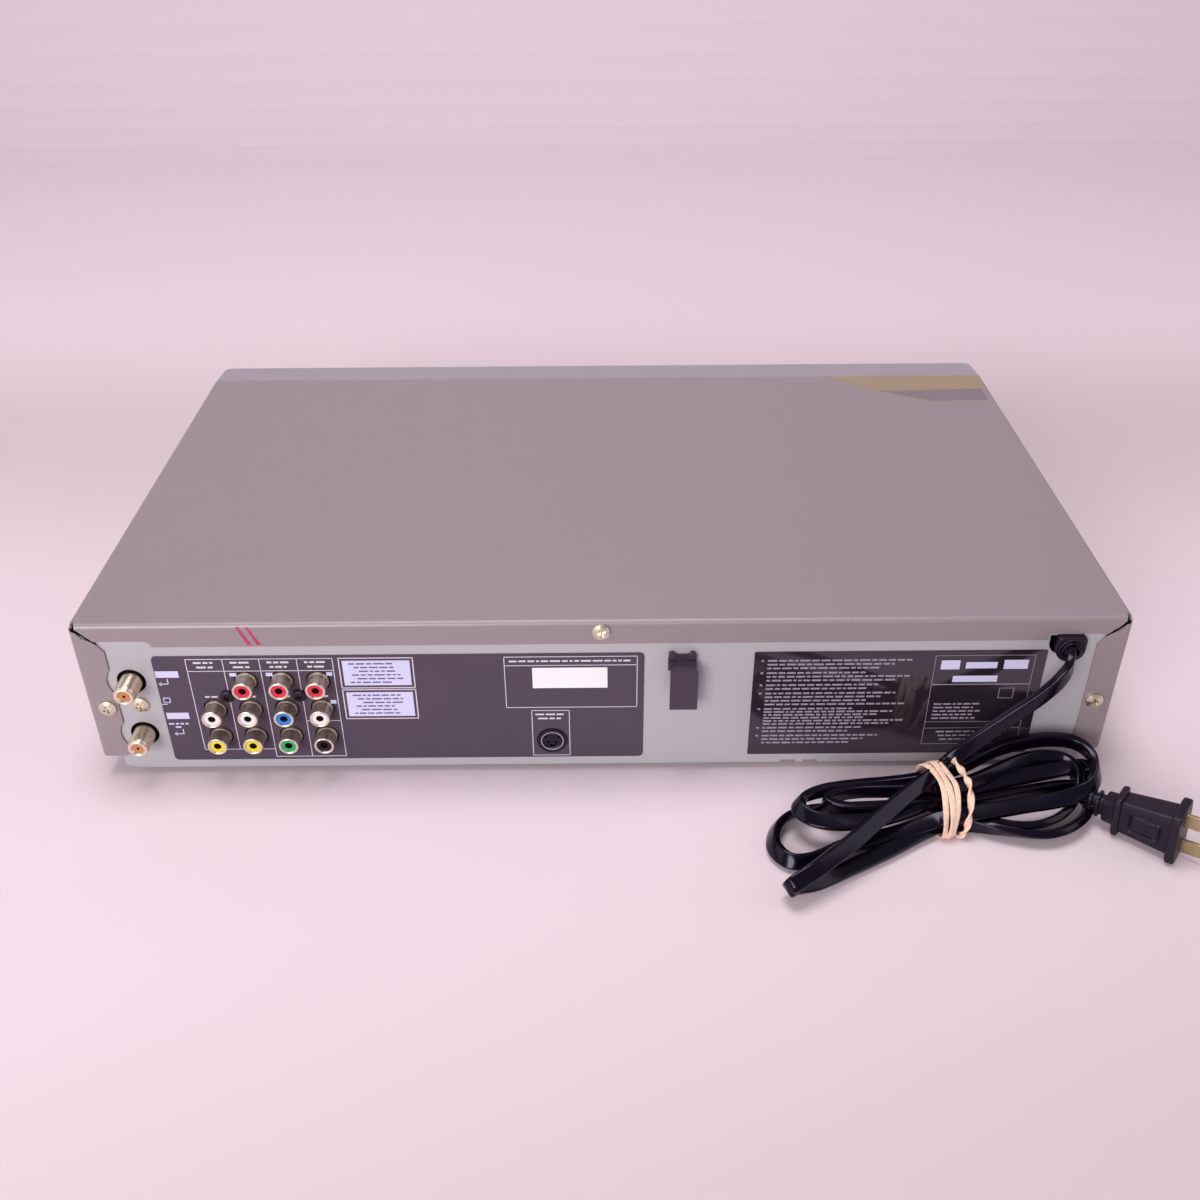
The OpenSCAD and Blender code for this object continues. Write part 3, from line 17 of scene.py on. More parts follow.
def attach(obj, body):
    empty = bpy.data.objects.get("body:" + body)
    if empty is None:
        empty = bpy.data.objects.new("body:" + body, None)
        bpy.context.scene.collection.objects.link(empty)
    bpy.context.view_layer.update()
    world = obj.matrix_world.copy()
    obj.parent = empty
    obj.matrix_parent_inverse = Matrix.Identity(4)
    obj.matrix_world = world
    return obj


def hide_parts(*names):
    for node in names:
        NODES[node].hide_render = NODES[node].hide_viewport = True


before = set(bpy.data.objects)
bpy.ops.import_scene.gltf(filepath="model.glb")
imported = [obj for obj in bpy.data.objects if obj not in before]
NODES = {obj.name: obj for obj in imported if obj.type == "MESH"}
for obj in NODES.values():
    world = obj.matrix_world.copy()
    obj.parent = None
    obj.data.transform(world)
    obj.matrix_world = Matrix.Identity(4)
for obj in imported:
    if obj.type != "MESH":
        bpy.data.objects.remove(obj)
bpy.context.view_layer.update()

MM = 0.001

# %% [markdown]
# ## Camera
#
# The camera looks down on the jacks from behind. Its place comes from the corners of the case,
# whose size is known, so the view keeps the real proportions. A camera in Blender looks along
# its own -Z, so its axes are the columns of a turn: right, up and backwards.

# %% Place the camera
CAMERA_AT = (0.001584, 0.544289, 0.364991)
CAMERA_RIGHT = (-0.999964, 0.006492, -0.005417)
CAMERA_UP = (-0.008102, -0.552583, 0.833418)
CAMERA_BACK = (0.002417, 0.833432, 0.552616)
SENSOR, LENS, NEAREST = 36, 37.738, 0.01
camera_data = bpy.data.cameras.new("camera")
camera_data.sensor_width = SENSOR
camera_data.lens = LENS
camera_data.clip_start = NEAREST
camera = bpy.data.objects.new("camera", camera_data)
bpy.context.collection.objects.link(camera)
turn = Matrix((CAMERA_RIGHT, CAMERA_UP, CAMERA_BACK)).transposed().to_4x4()
camera.matrix_world = Matrix.Translation(CAMERA_AT) @ turn
bpy.context.scene.camera = camera
bpy.context.scene.view_settings.view_transform = "Standard"
print("camera at, m:", CAMERA_AT, "lens, mm:", LENS)

# %% [markdown]
# ## Shader maths as expressions
#
# A finish is a small network of nodes. Writing it as Python keeps it readable: a Signal wraps a
# socket, and adding or multiplying signals adds the Math nodes. Each operator has its reflected
# form, so that 1 - mask works too.

# %% Signals


class Signal:
    """A number that changes over a surface. Its operators add Math nodes."""

    def __init__(self, finish, socket):
        self.finish = finish
        self.socket = socket

    def __add__(self, other):
        return self.finish.number("ADD", self, other)

    def __radd__(self, other):
        return self.finish.number("ADD", other, self)

    def __sub__(self, other):
        return self.finish.number("SUBTRACT", self, other)

    def __rsub__(self, other):
        return self.finish.number("SUBTRACT", other, self)

    def __mul__(self, other):
        return self.finish.number("MULTIPLY", self, other)

    def __rmul__(self, other):
        return self.finish.number("MULTIPLY", other, self)

    def rise(self, low, high):
        """0 below low, 1 above high, and a smooth step between."""
        settings = {"interpolation_type": "SMOOTHSTEP"}
        values = {"Value": self, "From Min": low, "From Max": high}
        return self.finish.node("ShaderNodeMapRange", settings, values)


# %% [markdown]
# A Finish is one material round one Principled shader. All its nodes come from one method, which
# takes a node's type, its settings and what its sockets get. Patterns read Object coordinates, so
# they stay put when a piece moves. Their scales count per metre: 2,600 is a grain of 0.4 mm.

# %% Finishes as small networks


class Finish:
    """A material round one Principled shader. Constants are named as its sockets are."""

    def __init__(self, name, **constants):
        self.material = bpy.data.materials.new(name)
        self.material.use_nodes = True
        self.tree = self.material.node_tree
        self.tree.nodes.clear()
        self.output = self.tree.nodes.new("ShaderNodeOutputMaterial")
        self.shader = self.tree.nodes.new("ShaderNodeBsdfPrincipled")
        self.tree.links.new(self.shader.outputs["BSDF"], self.output.inputs["Surface"])
        for socket, value in constants.items():
            self.set(socket.replace("_", " "), value)

    def link(self, socket, value):
        """Sets a socket to a number, a colour or a signal."""
        if isinstance(value, Signal):
            self.tree.links.new(value.socket, socket)
        elif isinstance(value, (tuple, list)) and len(value) == 3 and socket.type == "RGBA":
            socket.default_value = (*value, 1)
        else:
            socket.default_value = value

    def set(self, socket, value):
        """Sets one of the shader's own sockets."""
        self.link(self.shader.inputs[socket], value)

    def node(self, kind, settings=None, values=None, output=0):
        """Adds a node: first its settings, then what its sockets get."""
        node = self.tree.nodes.new(kind)
        for key, value in (settings or {}).items():
            setattr(node, key, value)
        for key, value in (values or {}).items():
            self.link(node.inputs[key], value)
        return Signal(self, node.outputs[output])

    def number(self, operation, *values):
        """A Math node on numbers and signals."""
        return self.node("ShaderNodeMath", {"operation": operation}, dict(enumerate(values)))

    def place(self, scale=(1, 1, 1), turn=(0, 0, 0)):
        """Object coordinates, turned and stretched by a Mapping node."""
        here = self.node("ShaderNodeTexCoord", output="Object")
        values = {"Vector": here, "Rotation": turn, "Scale": scale}
        return self.node("ShaderNodeMapping", values=values)

    def axes(self):
        """X, Y and Z of the Object coordinates as three signals, in metres."""
        here = self.node("ShaderNodeTexCoord", output="Object")
        split = self.node("ShaderNodeSeparateXYZ", values={"Vector": here})
        outputs = split.socket.node.outputs
        return [Signal(self, outputs[k]) for k in range(3)]

    def noise(self, scale, detail=3, roughness=0.5, where=None):
        """Cloudy noise about 0.5, with so many finer octaves of detail."""
        where = where or self.place()
        values = {"Vector": where, "Scale": scale, "Detail": detail, "Roughness": roughness}
        return self.node("ShaderNodeTexNoise", values=values)

    def mix(self, factor, first, second):
        """A colour between two colours."""
        node = self.tree.nodes.new("ShaderNodeMix")
        node.data_type = "RGBA"
        self.link(node.inputs[0], factor)
        self.link(node.inputs[6], first)
        self.link(node.inputs[7], second)
        return Signal(self, node.outputs[2])

    def bump(self, height, distance, strength):
        """Fine relief that only the light sees: a Bump node on the shader's Normal."""
        values = {"Height": height, "Distance": distance, "Strength": strength}
        self.set("Normal", self.node("ShaderNodeBump", values=values))


def tone(red, green, blue):
    """A linear colour from one that is given as it looks, from 0 to 255: a power of 2.4, with a
    straight piece near black."""
    return tuple(
        ((c / 255 + 0.055) / 1.055) ** 2.4 if c > 10 else c / 3294.6 for c in (red, green, blue)
    )


def shade(colour, share):
    """The same colour at a share of its strength."""
    return tuple(c * share for c in colour)


# %% [markdown]
# ## Finishes
#
# The cover is powder-grey paint with a fine metallic grain, a few scuffs and dull finger marks.
# The grain is small noise in the colour and the bump, the wear is larger noise cut to islands:
# only what rises above about two thirds shows. The rear panel has a finer, cleaner paint.

# %% Painted steel


def painted_steel(name, colour, grain=0.05, roughness=0.42, wear=True):
    """Paint whose colour swings by the grain, with scuffs drawn out along one slant."""
    finish = Finish(name, Metallic=0.25)
    fine = finish.noise(2600, 2)
    cloud = finish.noise(9, 3)
    pale = tuple(min(1, c) for c in shade(colour, 1 + grain))
    base = finish.mix(fine.rise(0.3, 0.7), shade(colour, 1 - grain), pale)
    if wear:
        stretched = finish.place(scale=(1, 5, 1), turn=(0, 0, 0.5))
        streak = finish.noise(46, 6, 0.7, stretched).rise(0.66, 0.74)
        blot = finish.noise(17, 4, 0.6).rise(0.64, 0.76)
        base = finish.mix(streak * 0.16 + blot * 0.1, base, shade(colour, 0.55))
    finish.set("Base Color", base)
    finish.set("Roughness", cloud * 0.12 + (roughness - 0.06) + fine * 0.06)
    finish.bump(fine, 0.00004, 0.5)
    return finish.material


cover_paint = painted_steel("cover_paint", tone(148, 135, 140))
panel_paint = painted_steel("panel_paint", tone(180, 177, 182), 0.03, 0.36, False)
print("materials in the file:", len(bpy.data.materials))

# %% [markdown]
# Sheet steel inside the case is galvanised: its crystals show as pale and dark flakes, which a
# Voronoi pattern gives. Ground steel has fine lines, which is noise that is stretched one way.

# %% Bare metals


def galvanised_sheet(name):
    """Zinc: each Voronoi cell has its own grey, in the colour and in the gloss."""
    finish = Finish(name, Metallic=0.85)
    cells = {"Vector": finish.place(), "Scale": 160}
    flakes = finish.node("ShaderNodeTexVoronoi", values=cells, output="Color")
    grey = finish.node("ShaderNodeRGBToBW", values={"Color": flakes})
    finish.set("Base Color", finish.mix(grey, tone(150, 152, 156), tone(196, 198, 202)))
    finish.set("Roughness", grey * 0.2 + 0.3)
    return finish.material


def ground_metal(name, colour, roughness, along=(1, 1, 40), dull=0.7):
    """Metal with fine lines square to the axis whose scale is largest, and with stains where
    the colour falls to its dull share."""
    finish = Finish(name, Metallic=1.0)
    lines = finish.noise(900, 4, 0.6, finish.place(scale=along))
    stain = finish.noise(260, 4, 0.6).rise(0.35, 0.75)
    finish.set("Base Color", finish.mix(stain, colour, shade(colour, dull)))
    finish.set("Roughness", lines * 0.2 + (roughness - 0.1))
    finish.bump(lines, 0.00003, 0.5)
    return finish.material


sheet_metal = galvanised_sheet("sheet_metal")
steel = ground_metal("steel", tone(190, 190, 194), 0.3)
drum_metal = ground_metal("drum_metal", tone(214, 215, 218), 0.18, (1, 1, 30), 0.92)
barrel_metal = ground_metal("barrel_metal", tone(214, 196, 182), 0.46, (1, 0.05, 1), 0.66)
rim_metal = ground_metal("rim_metal", tone(240, 228, 210), 0.3, (1, 1, 1), 0.9)
aerial_metal = ground_metal("aerial_metal", tone(212, 192, 172), 0.3, (1, 22, 1), 0.8)
screw_metal = ground_metal("screw_metal", tone(224, 214, 192), 0.28, (1, 1, 1), 0.8)
blade_metal = ground_metal("blade_metal", tone(186, 172, 136), 0.3, (1, 1, 30), 0.8)
print("materials in the file:", len(bpy.data.materials))

# %% [markdown]
# Plastics are mostly one colour. What makes them look moulded is a faint orange-peel in the gloss
# and a soft change of tone, so each one gets both. Their gloss is tinted a little to the violet,
# as the dark plastic of the real case shines.

# %% Plastics and rubber
GLOSS_TINT = (0.84, 0.78, 1, 1)


def plastic(name, colour, roughness=0.4, grain=420, depth=0.00002, coat=0.0, shine=0.5):
    """Moulded plastic: peel of the grain's scale in gloss and bump, clouds of 5% in the tone."""
    constants = {"Coat_Weight": coat, "Specular_IOR_Level": shine, "Specular_Tint": GLOSS_TINT}
    finish = Finish(name, **constants)
    peel = finish.noise(grain, 3)
    cloud = finish.noise(60, 3)
    finish.set("Base Color", finish.mix(cloud.rise(0.3, 0.7), shade(colour, 0.95), colour))
    finish.set("Roughness", peel * 0.14 + (roughness - 0.07))
    finish.bump(peel, depth, 0.5)
    return finish.material


black_plastic = plastic("black_plastic", tone(24, 16, 27), 0.42, shine=0.35)
plug_plastic = plastic("plug_plastic", tone(21, 14, 24), 0.42, 900, 0.00006, shine=0.35)
rubber = plastic("rubber", tone(28, 27, 30), 0.7, 1200, 0.00004)
front_plastic = plastic("front_plastic", tone(150, 142, 150), 0.38, 1500, 0.00002)
button_plastic = plastic("button_plastic", tone(182, 178, 186), 0.3, 1500, 0.00001)
gear_plastic = plastic("gear_plastic", tone(220, 216, 204), 0.4)
orange_plastic = plastic("orange_plastic", tone(186, 128, 84), 0.5, shine=0.3)
red_plastic = plastic("red_plastic", tone(214, 40, 56), 0.35)
white_plastic = plastic("white_plastic", tone(232, 226, 228), 0.35)
yellow_plastic = plastic("yellow_plastic", tone(226, 206, 40), 0.35)
blue_plastic = plastic("blue_plastic", tone(30, 122, 206), 0.35)
green_plastic = plastic("green_plastic", tone(36, 160, 92), 0.35)
# a flat black for painted shade, where holes and gaps lie in shadow
painted_shade_black = plastic("painted_shade_black", tone(8, 7, 8), 0.6, shine=0.05)
lens_plastic = plastic("lens_plastic", tone(22, 21, 26), 0.08, 200, 0.000002, 0.6)
label_film = plastic("label_film", tone(72, 60, 73), 0.42, 2600, 0.00001)
clip_plastic = plastic("clip_plastic", tone(62, 48, 62), 0.4)
label_gloss = plastic("label_gloss", tone(40, 32, 40), 0.1, 90, 0.00002, 0.5)
board_green = plastic("board_green", tone(58, 104, 66), 0.3, 300, 0.00003)
board_tan = plastic("board_tan", tone(140, 118, 74), 0.5, 300, 0.00003)
ferrite = plastic("ferrite", tone(196, 160, 60), 0.35)
white_ink = plastic("white_ink", tone(214, 206, 220), 0.5)
grey_ink = plastic("grey_ink", tone(150, 140, 156), 0.5)
pale_ink = plastic("pale_ink", tone(206, 204, 236), 0.45)
dark_ink = plastic("dark_ink", tone(96, 90, 124), 0.5)
paper_white = plastic("paper_white", tone(240, 234, 238), 0.6)
red_ink = plastic("red_ink", tone(178, 58, 92), 0.5, 500, 0.00002)
gold_film = plastic("gold_film", tone(148, 130, 104), 0.4, 300, 0.00001)
silver_film = plastic("silver_film", tone(122, 108, 116), 0.4, 300, 0.00001)
print("materials in the file:", len(bpy.data.materials))

# %% [markdown]
# The cord is black vinyl with a clear skin whose narrow shine runs along it, over a dusty tone.
# The rubber band is pale natural rubber: a little light goes into it, and its surface is dull.

# %% Cord and band
VINYL_SKIN = {
    "Coat_Weight": 0.08, "Coat_Roughness": 0.06, "Specular_IOR_Level": 0.3,
    "Specular_Tint": (0.78, 0.7, 1, 1),
}


def cord_vinyl(name):
    """Vinyl: smooth gloss that wavers slightly, and dust where broad noise rises high."""
    finish = Finish(name, **VINYL_SKIN)
    fine = finish.noise(500, 3)
    dust = finish.noise(90, 5, 0.7)
    finish.set("Base Color", finish.mix(dust.rise(0.55, 0.95), tone(7, 3, 13), tone(20, 14, 30)))
    finish.set("Roughness", fine * 0.1 + 0.14)
    finish.bump(fine, 0.00002, 0.3)
    return finish.material


def band_latex(name):
    """Rubber: two pale tones in a grain of about 1 mm, which is also its bump."""
    finish = Finish(name, Subsurface_Weight=0.1, Subsurface_Scale=0.002)
    fine = finish.noise(900, 4)
    pale, deep = tone(238, 204, 184), tone(220, 178, 154)
    finish.set("Base Color", finish.mix(fine.rise(0.3, 0.8), pale, deep))
    finish.set("Roughness", fine * 0.2 + 0.45)
    finish.bump(fine, 0.00008, 0.6)
    return finish.material


vinyl = cord_vinyl("vinyl")
latex = band_latex("latex")
print("materials in the file:", len(bpy.data.materials))

# %% [markdown]
# ## Surfaces worked out with numpy
#
# Most new pieces are grids of points: a ring of points carried along a line, or a profile turned
# about an axis. Such a grid needs only one rule for its faces, whatever its shape.

# %% Faces of a grid
CUBE = np.array(
    [[0, 0, 0], [1, 0, 0], [1, 1, 0], [0, 1, 0], [0, 0, 1], [1, 0, 1], [1, 1, 1], [0, 1, 1]]
)
CUBE_SIDES = np.array(
    [[0, 3, 2, 1], [4, 5, 6, 7], [0, 1, 5, 4], [1, 2, 6, 5], [2, 3, 7, 6], [3, 0, 4, 7]]
)


def grid_faces(rows, columns, wrap_rows=False, wrap_columns=True):
    """The four-sided faces of a grid: point i, j joins its neighbours at i + 1 and j + 1, and
    where a side wraps, its last point joins the first."""
    i = np.arange(rows if wrap_rows else rows - 1)[:, None]
    j = np.arange(columns if wrap_columns else columns - 1)[None, :]
    i2, j2 = (i + 1) % rows, (j + 1) % columns
    corners = [i * columns + j, i * columns + j2, i2 * columns + j2, i2 * columns + j]
    return np.stack(np.broadcast_arrays(*corners), axis=-1).reshape(-1, 4)


# %% [markdown]
# A Shell gathers such grids and makes one mesh of them. Points that meet are merged, and all the
# faces are turned out. Edges sharper than an angle stay crisp, the rest are shaded smooth.

# %% Shell


class Shell:
    """Points and faces in millimetres, gathered into one mesh."""

    def __init__(self):
        self.points = []
        self.faces = []
        self.count = 0

    def add(self, points, quads, ends=()):
        """Takes points, the quads between them, and end faces with any number of corners."""
        points = np.asarray(points, dtype=float).reshape(-1, 3)
        self.points.append(points)
        for faces in (quads, *ends):
            self.faces.extend((np.atleast_2d(faces) + self.count).tolist())
        self.count += len(points)

    def tube(self, rings, closed=False):
        """Rings of points, joined in turn. Its two ends are filled unless it closes on itself."""
        rings = np.asarray(rings)
        rows, columns = rings.shape[:2]
        first = np.arange(columns)
        ends = () if closed else (first[::-1], (rows - 1) * columns + first)
        self.add(rings, grid_faces(rows, columns, closed), ends)

    def turned(self, profile, x, z, count=64):
        """A closed profile of (radius, y), turned about an axis along Y through x and z: each
        point goes round at x + r cos a, z + r sin a."""
        profile = np.asarray(profile, dtype=float)
        angle = np.linspace(0, 2 * math.pi, count, endpoint=False)
        r, y = profile[:, :1], profile[:, 1:]
        ring = np.stack([x + r * np.cos(angle), y + 0 * angle, z + r * np.sin(angle)], axis=-1)
        self.add(ring, grid_faces(len(profile), count, True))

    def boxes(self, corners):
        """Boxes from pairs of a low and a high corner: a unit cube, stretched and moved."""
        low, high = np.moveaxis(np.asarray(corners, dtype=float), 1, 0)[:, :, None]
        first = len(CUBE) * np.arange(len(low))[:, None, None]
        self.add(low + CUBE * (high - low), (CUBE_SIDES + first).reshape(-1, 4))

    def plate(self, outline, low, high, plane="xz"):
        """A flat plate: an outline in X and Z between two Ys, or in X and Y between two Zs."""
        outline = np.asarray(outline, dtype=float)
        thin = 1 if plane == "xz" else 2
        self.tube([np.insert(outline, thin, level, axis=1) for level in (low, high)])

    def piece(self, name, material, body="chassis", sharp=32, slot=None, move=None):
        """The gathered shell as one object that rides on a body."""
        mesh = bpy.data.meshes.new(name)
        points = np.concatenate(self.points)
        if move is not None:
            points = points @ np.array(move.to_3x3()).T + np.array(move.translation)
        mesh.from_pydata((points * MM).tolist(), [], self.faces)
        shape = bmesh.new()
        shape.from_mesh(mesh)
        bmesh.ops.remove_doubles(shape, verts=shape.verts, dist=1e-7)
        bmesh.ops.recalc_face_normals(shape, faces=shape.faces)
        shape.to_mesh(mesh)
        shape.free()
        mesh.polygons.foreach_set("use_smooth", [True] * len(mesh.polygons))
        mesh.set_sharp_from_angle(angle=math.radians(sharp))
        mesh.materials.append(material)
        made = bpy.data.objects.new(name, mesh)
        bpy.context.collection.objects.link(made)
        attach(made, body)
        print(name, len(mesh.polygons), "faces")
        return made


# %% [markdown]
# A cord or a band can't have corners. A Catmull-Rom curve goes through every point of a short
# list with no corner, and a few rounds of averaging take out what wobble is left.

# %% Smooth lines


def smooth_line(points, steps):
    """A curve through the points, with so many steps in each stretch. Each stretch is the cubic
    that leaves and arrives along the line between its neighbours (Catmull-Rom)."""
    p = np.asarray(points, dtype=float)
    p = np.vstack([2 * p[0] - p[1], p, 2 * p[-1] - p[-2]])
    t = np.linspace(0, 1, steps, endpoint=False)[:, None]
    parts = []
    for a, b, c, d in zip(p[:-3], p[1:-2], p[2:-1], p[3:]):
        bend = (2 * a - 5 * b + 4 * c - d) * t**2
        parts.append(0.5 * (2 * b + (c - a) * t + bend + (3 * b - a - 3 * c + d) * t**3))
    return np.vstack(parts + [p[-2:-1]])


def smoothed(line, rounds):
    """The line with each point moved half-way to the middle of its neighbours, over and over.
    Its ends stay."""
    line = line.copy()
    for _ in range(rounds):
        line[1:-1] = 0.5 * line[1:-1] + 0.25 * (line[:-2] + line[2:])
    return line


# %% [markdown]
# ## The mains cord
#
# It is a flat cord with two cores, so its section is twice as wide as it is thick. It leaves its
# strain relief, drops to the surface, and is folded to and fro through a rubber band: eight runs,
# four folds on the left and three on the right. A curve object with a flat bevel could do it, but
# its tilt counts from a direction that Blender works out. Here each point gives the lean itself:
# the numbers are its place along the hank and across it, the height, and the lean in degrees from
# standing on edge. A smooth curve through the points is the cord's middle.

# %% The cord's route
CORD_WIDE, CORD_THICK = 6.6, 3.4
HANK_AT = np.array([-141.0, 160.0])
HANK_TURN = math.radians(16)
CURVE_STEPS, CURVE_ROUNDS = 14, 12
LEAD = [
    (-191.3, 128.2, 64.5, 0), (-191, 129.4, 64.6, 0), (-190.5, 131.8, 64.7, 0),
    (-189.5, 135, 64.4, 0), (-188.4, 138, 63.2, 0), (-186.9, 139.9, 60.5, 0),
    (-184.3, 141.2, 56.5, 0), (-180.9, 142.2, 53, 0), (-176.5, 143, 48.9, 0),
    (-171.5, 143.7, 44.8, -2), (-165.6, 144.4, 39.7, -6), (-159.1, 145.4, 34.3, -14),
    (-152.4, 146.8, 29, -24), (-146.4, 148.6, 24.6, -32),
]
HANK = [
    # through the band to the fold nearest the camera
    (-2.9, -9.2, 20.2, -38), (9.1, -3.5, 20.2, -42), (23.9, 3.5, 19.4, -46),
    (36.7, 9.4, 17.6, -48), (49.5, 15.5, 15.8, -48), (64.1, 21.4, 13.6, -46),
    (71.8, 24, 12.4, -46), (78, 25.6, 11, -60), (79.1, 25.6, 9.9, -42), (79.7, 25.1, 8.5, 10),
    (79.4, 24.3, 7.1, 50), (78.5, 23.4, 6.2, 62), (77.1, 22.6, 5.9, 65), (69.1, 22.4, 4.9, 52),
    (61.9, 20.7, 4, 60), (50.8, 17.7, 3.4, 70), (31, 12.9, 3.2, 72), (14, 8.1, 3.4, 66),
    (2.4, 6.6, 3.8, 45),
    # the low loop on the right, which rises behind
    (-6.4, 10.1, 4.2, 5), (-16.2, 16.6, 4.4, -30), (-28.9, 23.8, 4.6, -45),
    (-38.6, 24.9, 4.6, -45), (-48.7, 22.3, 4.4, -36), (-56.5, 17.4, 4.4, -24),
    (-61.1, 12.3, 5.6, -15), (-64.5, 7.5, 8.2, -18), (-65.9, 3.1, 10.8, -34),
    (-63.6, -0.2, 12.2, -50), (-48.9, -0.9, 12.8, -66), (-33.8, -1.5, 12.6, -70),
    (-20, -1.7, 12.2, -70), (-10.8, -1.8, 11.8, -68), (-1.3, -2.2, 11.4, -66),
    # the raised loop on the left
    (4.5, -1, 11.2, -68), (16.6, 1.4, 11.2, -70), (26.9, 2.9, 11.4, -74), (36, 3.3, 11.6, -76),
    (44.3, 2.2, 11.8, -72), (52.9, -0.5, 12, -62), (58.6, -4.7, 12.2, -50),
    (60.9, -10.4, 12.6, -38), (57.5, -15.3, 12.8, -26), (47.3, -17, 13, -14),
    (33.8, -15.3, 13.2, -6), (19.7, -11.9, 14, 0), (7.9, -8.7, 16, 0), (-2.2, -7.9, 18.2, 0),
    # the great loop on the right
    (-10, -7.7, 19.4, 0), (-18.5, -9.3, 20.3, 0), (-30.9, -11.9, 21, 0), (-42.7, -11.9, 21.4, -2),
    (-52.4, -10.7, 21.4, -5), (-60.8, -7.7, 20.8, -9), (-64.9, -3.1, 20, -14),
    (-65.8, 2.8, 18.8, -18), (-63.8, 8, 17.4, -22), (-60.8, 12, 15.8, -28),
    (-56.7, 14.2, 14.4, -38), (-52.3, 14.9, 13.4, -50), (-46.5, 15.1, 12.6, -60),
    (-38.1, 14.3, 11.8, -67), (-30.9, 13, 11.2, -70), (-18.3, 11.3, 10.2, -70),
    (-6.5, 9.3, 9.2, -69), (3.3, 7.9, 8.4, -68),
    # the outer loop on the left
    (8.1, 6.8, 6.8, -68), (19.3, 7, 5.4, -70), (30.2, 6.9, 4.4, -70), (41, 6.3, 4, -68),
    (50.3, 7.4, 3.8, -62), (57.8, 9.2, 3.8, -54), (64.9, 10, 3.9, -46), (71.1, 8.6, 4, -38),
    (74.4, 3.9, 4, -32), (74.7, -3.2, 4, -28), (69.7, -11.4, 4, -27), (61.8, -15.8, 4, -28),
    (53.6, -16.6, 4, -30), (44.1, -15.3, 4, -34), (25.8, -10.8, 4.1, -30), (7.5, -6.1, 4.1, -26),
    (-2, -1.3, 4.1, -30),
    # the small low loop on the right, which rises behind
    (-7.2, 4.8, 4, -38), (-12.5, 9.5, 4, -45), (-18.5, 12.9, 4.2, -45), (-25.3, 16.8, 4.4, -45),
    (-32.4, 18.3, 4.4, -44), (-41.2, 17.4, 4.4, -38), (-48.7, 14.7, 4.8, -26),
    (-54.8, 10.5, 6.4, -14), (-58.6, 5.5, 9.4, -10), (-59.7, 0.3, 12.4, -14),
    (-55.9, -4.9, 14.4, -22), (-46.8, -7.7, 15, -28), (-35.4, -6.8, 15.2, -30),
    (-21.7, -3.7, 15.2, -28), (-10, -1.5, 15.2, -22), (-0.3, -1.6, 15.4, -14),
    # the innermost loop on the left
    (8.2, -3.7, 15.2, -6), (17.9, -6.7, 14.6, 0), (32.1, -11.8, 13.6, 4), (41, -13, 13.2, 8),
    (48.4, -11.4, 13, 8), (47.4, -7.2, 12.8, 0), (38.7, -2.8, 12.8, -10), (25.3, -0.6, 12.6, -14),
    (11.4, -0.9, 11.4, -14), (0.6, 1.6, 9.6, -12),
    # out to the plug
    (-8.6, 2.8, 8.8, -10), (-17.9, 3, 8.2, -8), (-35.8, 2.8, 7.4, -2), (-50.5, 4, 7.2, 6),
    (-56.9, 6.5, 7.4, 22), (-57.1, 11.3, 8.2, 50), (-57.2, 14.8, 8.6, 60), (-59, 17.3, 8.9, 60),
]


def from_hank(points):
    """Points given along and across the hank, in the frame's X and Y."""
    points = np.asarray(points, dtype=float)
    c, s = math.cos(HANK_TURN), math.sin(HANK_TURN)
    out = points.copy()
    out[:, 0] = HANK_AT[0] + points[:, 0] * c - points[:, 1] * s
    out[:, 1] = HANK_AT[1] + points[:, 0] * s + points[:, 1] * c
    return out


route = smoothed(smooth_line(np.vstack([LEAD, from_hank(HANK)]), CURVE_STEPS), CURVE_ROUNDS)
cord_line, cord_lean = route[:, :3], np.radians(route[:, 3])

# %% [markdown]
# The section is drawn once, across and through the cord. At each point of the line it stands in
# the plane square to the line, turned by the lean.

# %% Sweep the section along the route


def directions(line):
    """Unit vectors along a line: the step between a point's neighbours, over its length."""
    along = np.gradient(line, axis=0)
    return along / np.linalg.norm(along, axis=1, keepdims=True)


def flat_section(wide, thick, edge=0.85, crown=0.1):
    """Half the width and half the thickness round the cord: wide faces with a slight crown, a
    parabola, and four corners that are quarters of a circle of the edge's radius."""
    reach = wide / 2 - edge
    across = np.linspace(reach, -reach, 9)
    face = np.stack([across, thick / 2 + crown * (1 - (across / reach) ** 2)], axis=-1)
    a = np.linspace(0, math.pi / 2, 7)[1:-1]
    right = np.stack([reach + edge * np.cos(a), thick / 2 - edge + edge * np.sin(a)], axis=-1)
    ends = np.array([[wide / 2, thick / 2 - edge]])
    half = np.vstack([ends, right, face, right[::-1] * [-1, 1], ends * [-1, 1]])
    return np.vstack([half, half[::-1] * [1, -1]])


def swept(line, lean, section):
    """Rings of a section along a line. Up is the vertical less its share along the line, and
    side is square to both. The width lies at the lean between up and side, so lean 0 stands it
    upright, and the thickness is square to the line and the width."""
    along = directions(line)
    up = np.array([0, 0, 1.0]) - along * along[:, 2:3]
    up /= np.linalg.norm(up, axis=1, keepdims=True)
    side = np.cross(up, along)
    wide = np.cos(lean)[:, None] * up + np.sin(lean)[:, None] * side
    thin = np.cross(along, wide)
    across, through = section[:, 0][None, :, None], section[:, 1][None, :, None]
    return line[:, None, :] + across * wide[:, None] + through * thin[:, None]


cord_shell = Shell()
cord_shell.tube(swept(cord_line, cord_lean, flat_section(CORD_WIDE, CORD_THICK)))
mains_cord = cord_shell.piece("mains_cord", vinyl, slot="cord_jacket")
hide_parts("power_cord", "cord_hank")

# %% [markdown]
# ## The rubber band
#
# A thin band holds the waist of the hank in three turns that lie flat, and one strand that is
# twisted. A torus would be round and even, and a stretched band is neither. So each turn is a
# flat strip that follows a rounded loop across the hank and twists as it goes.

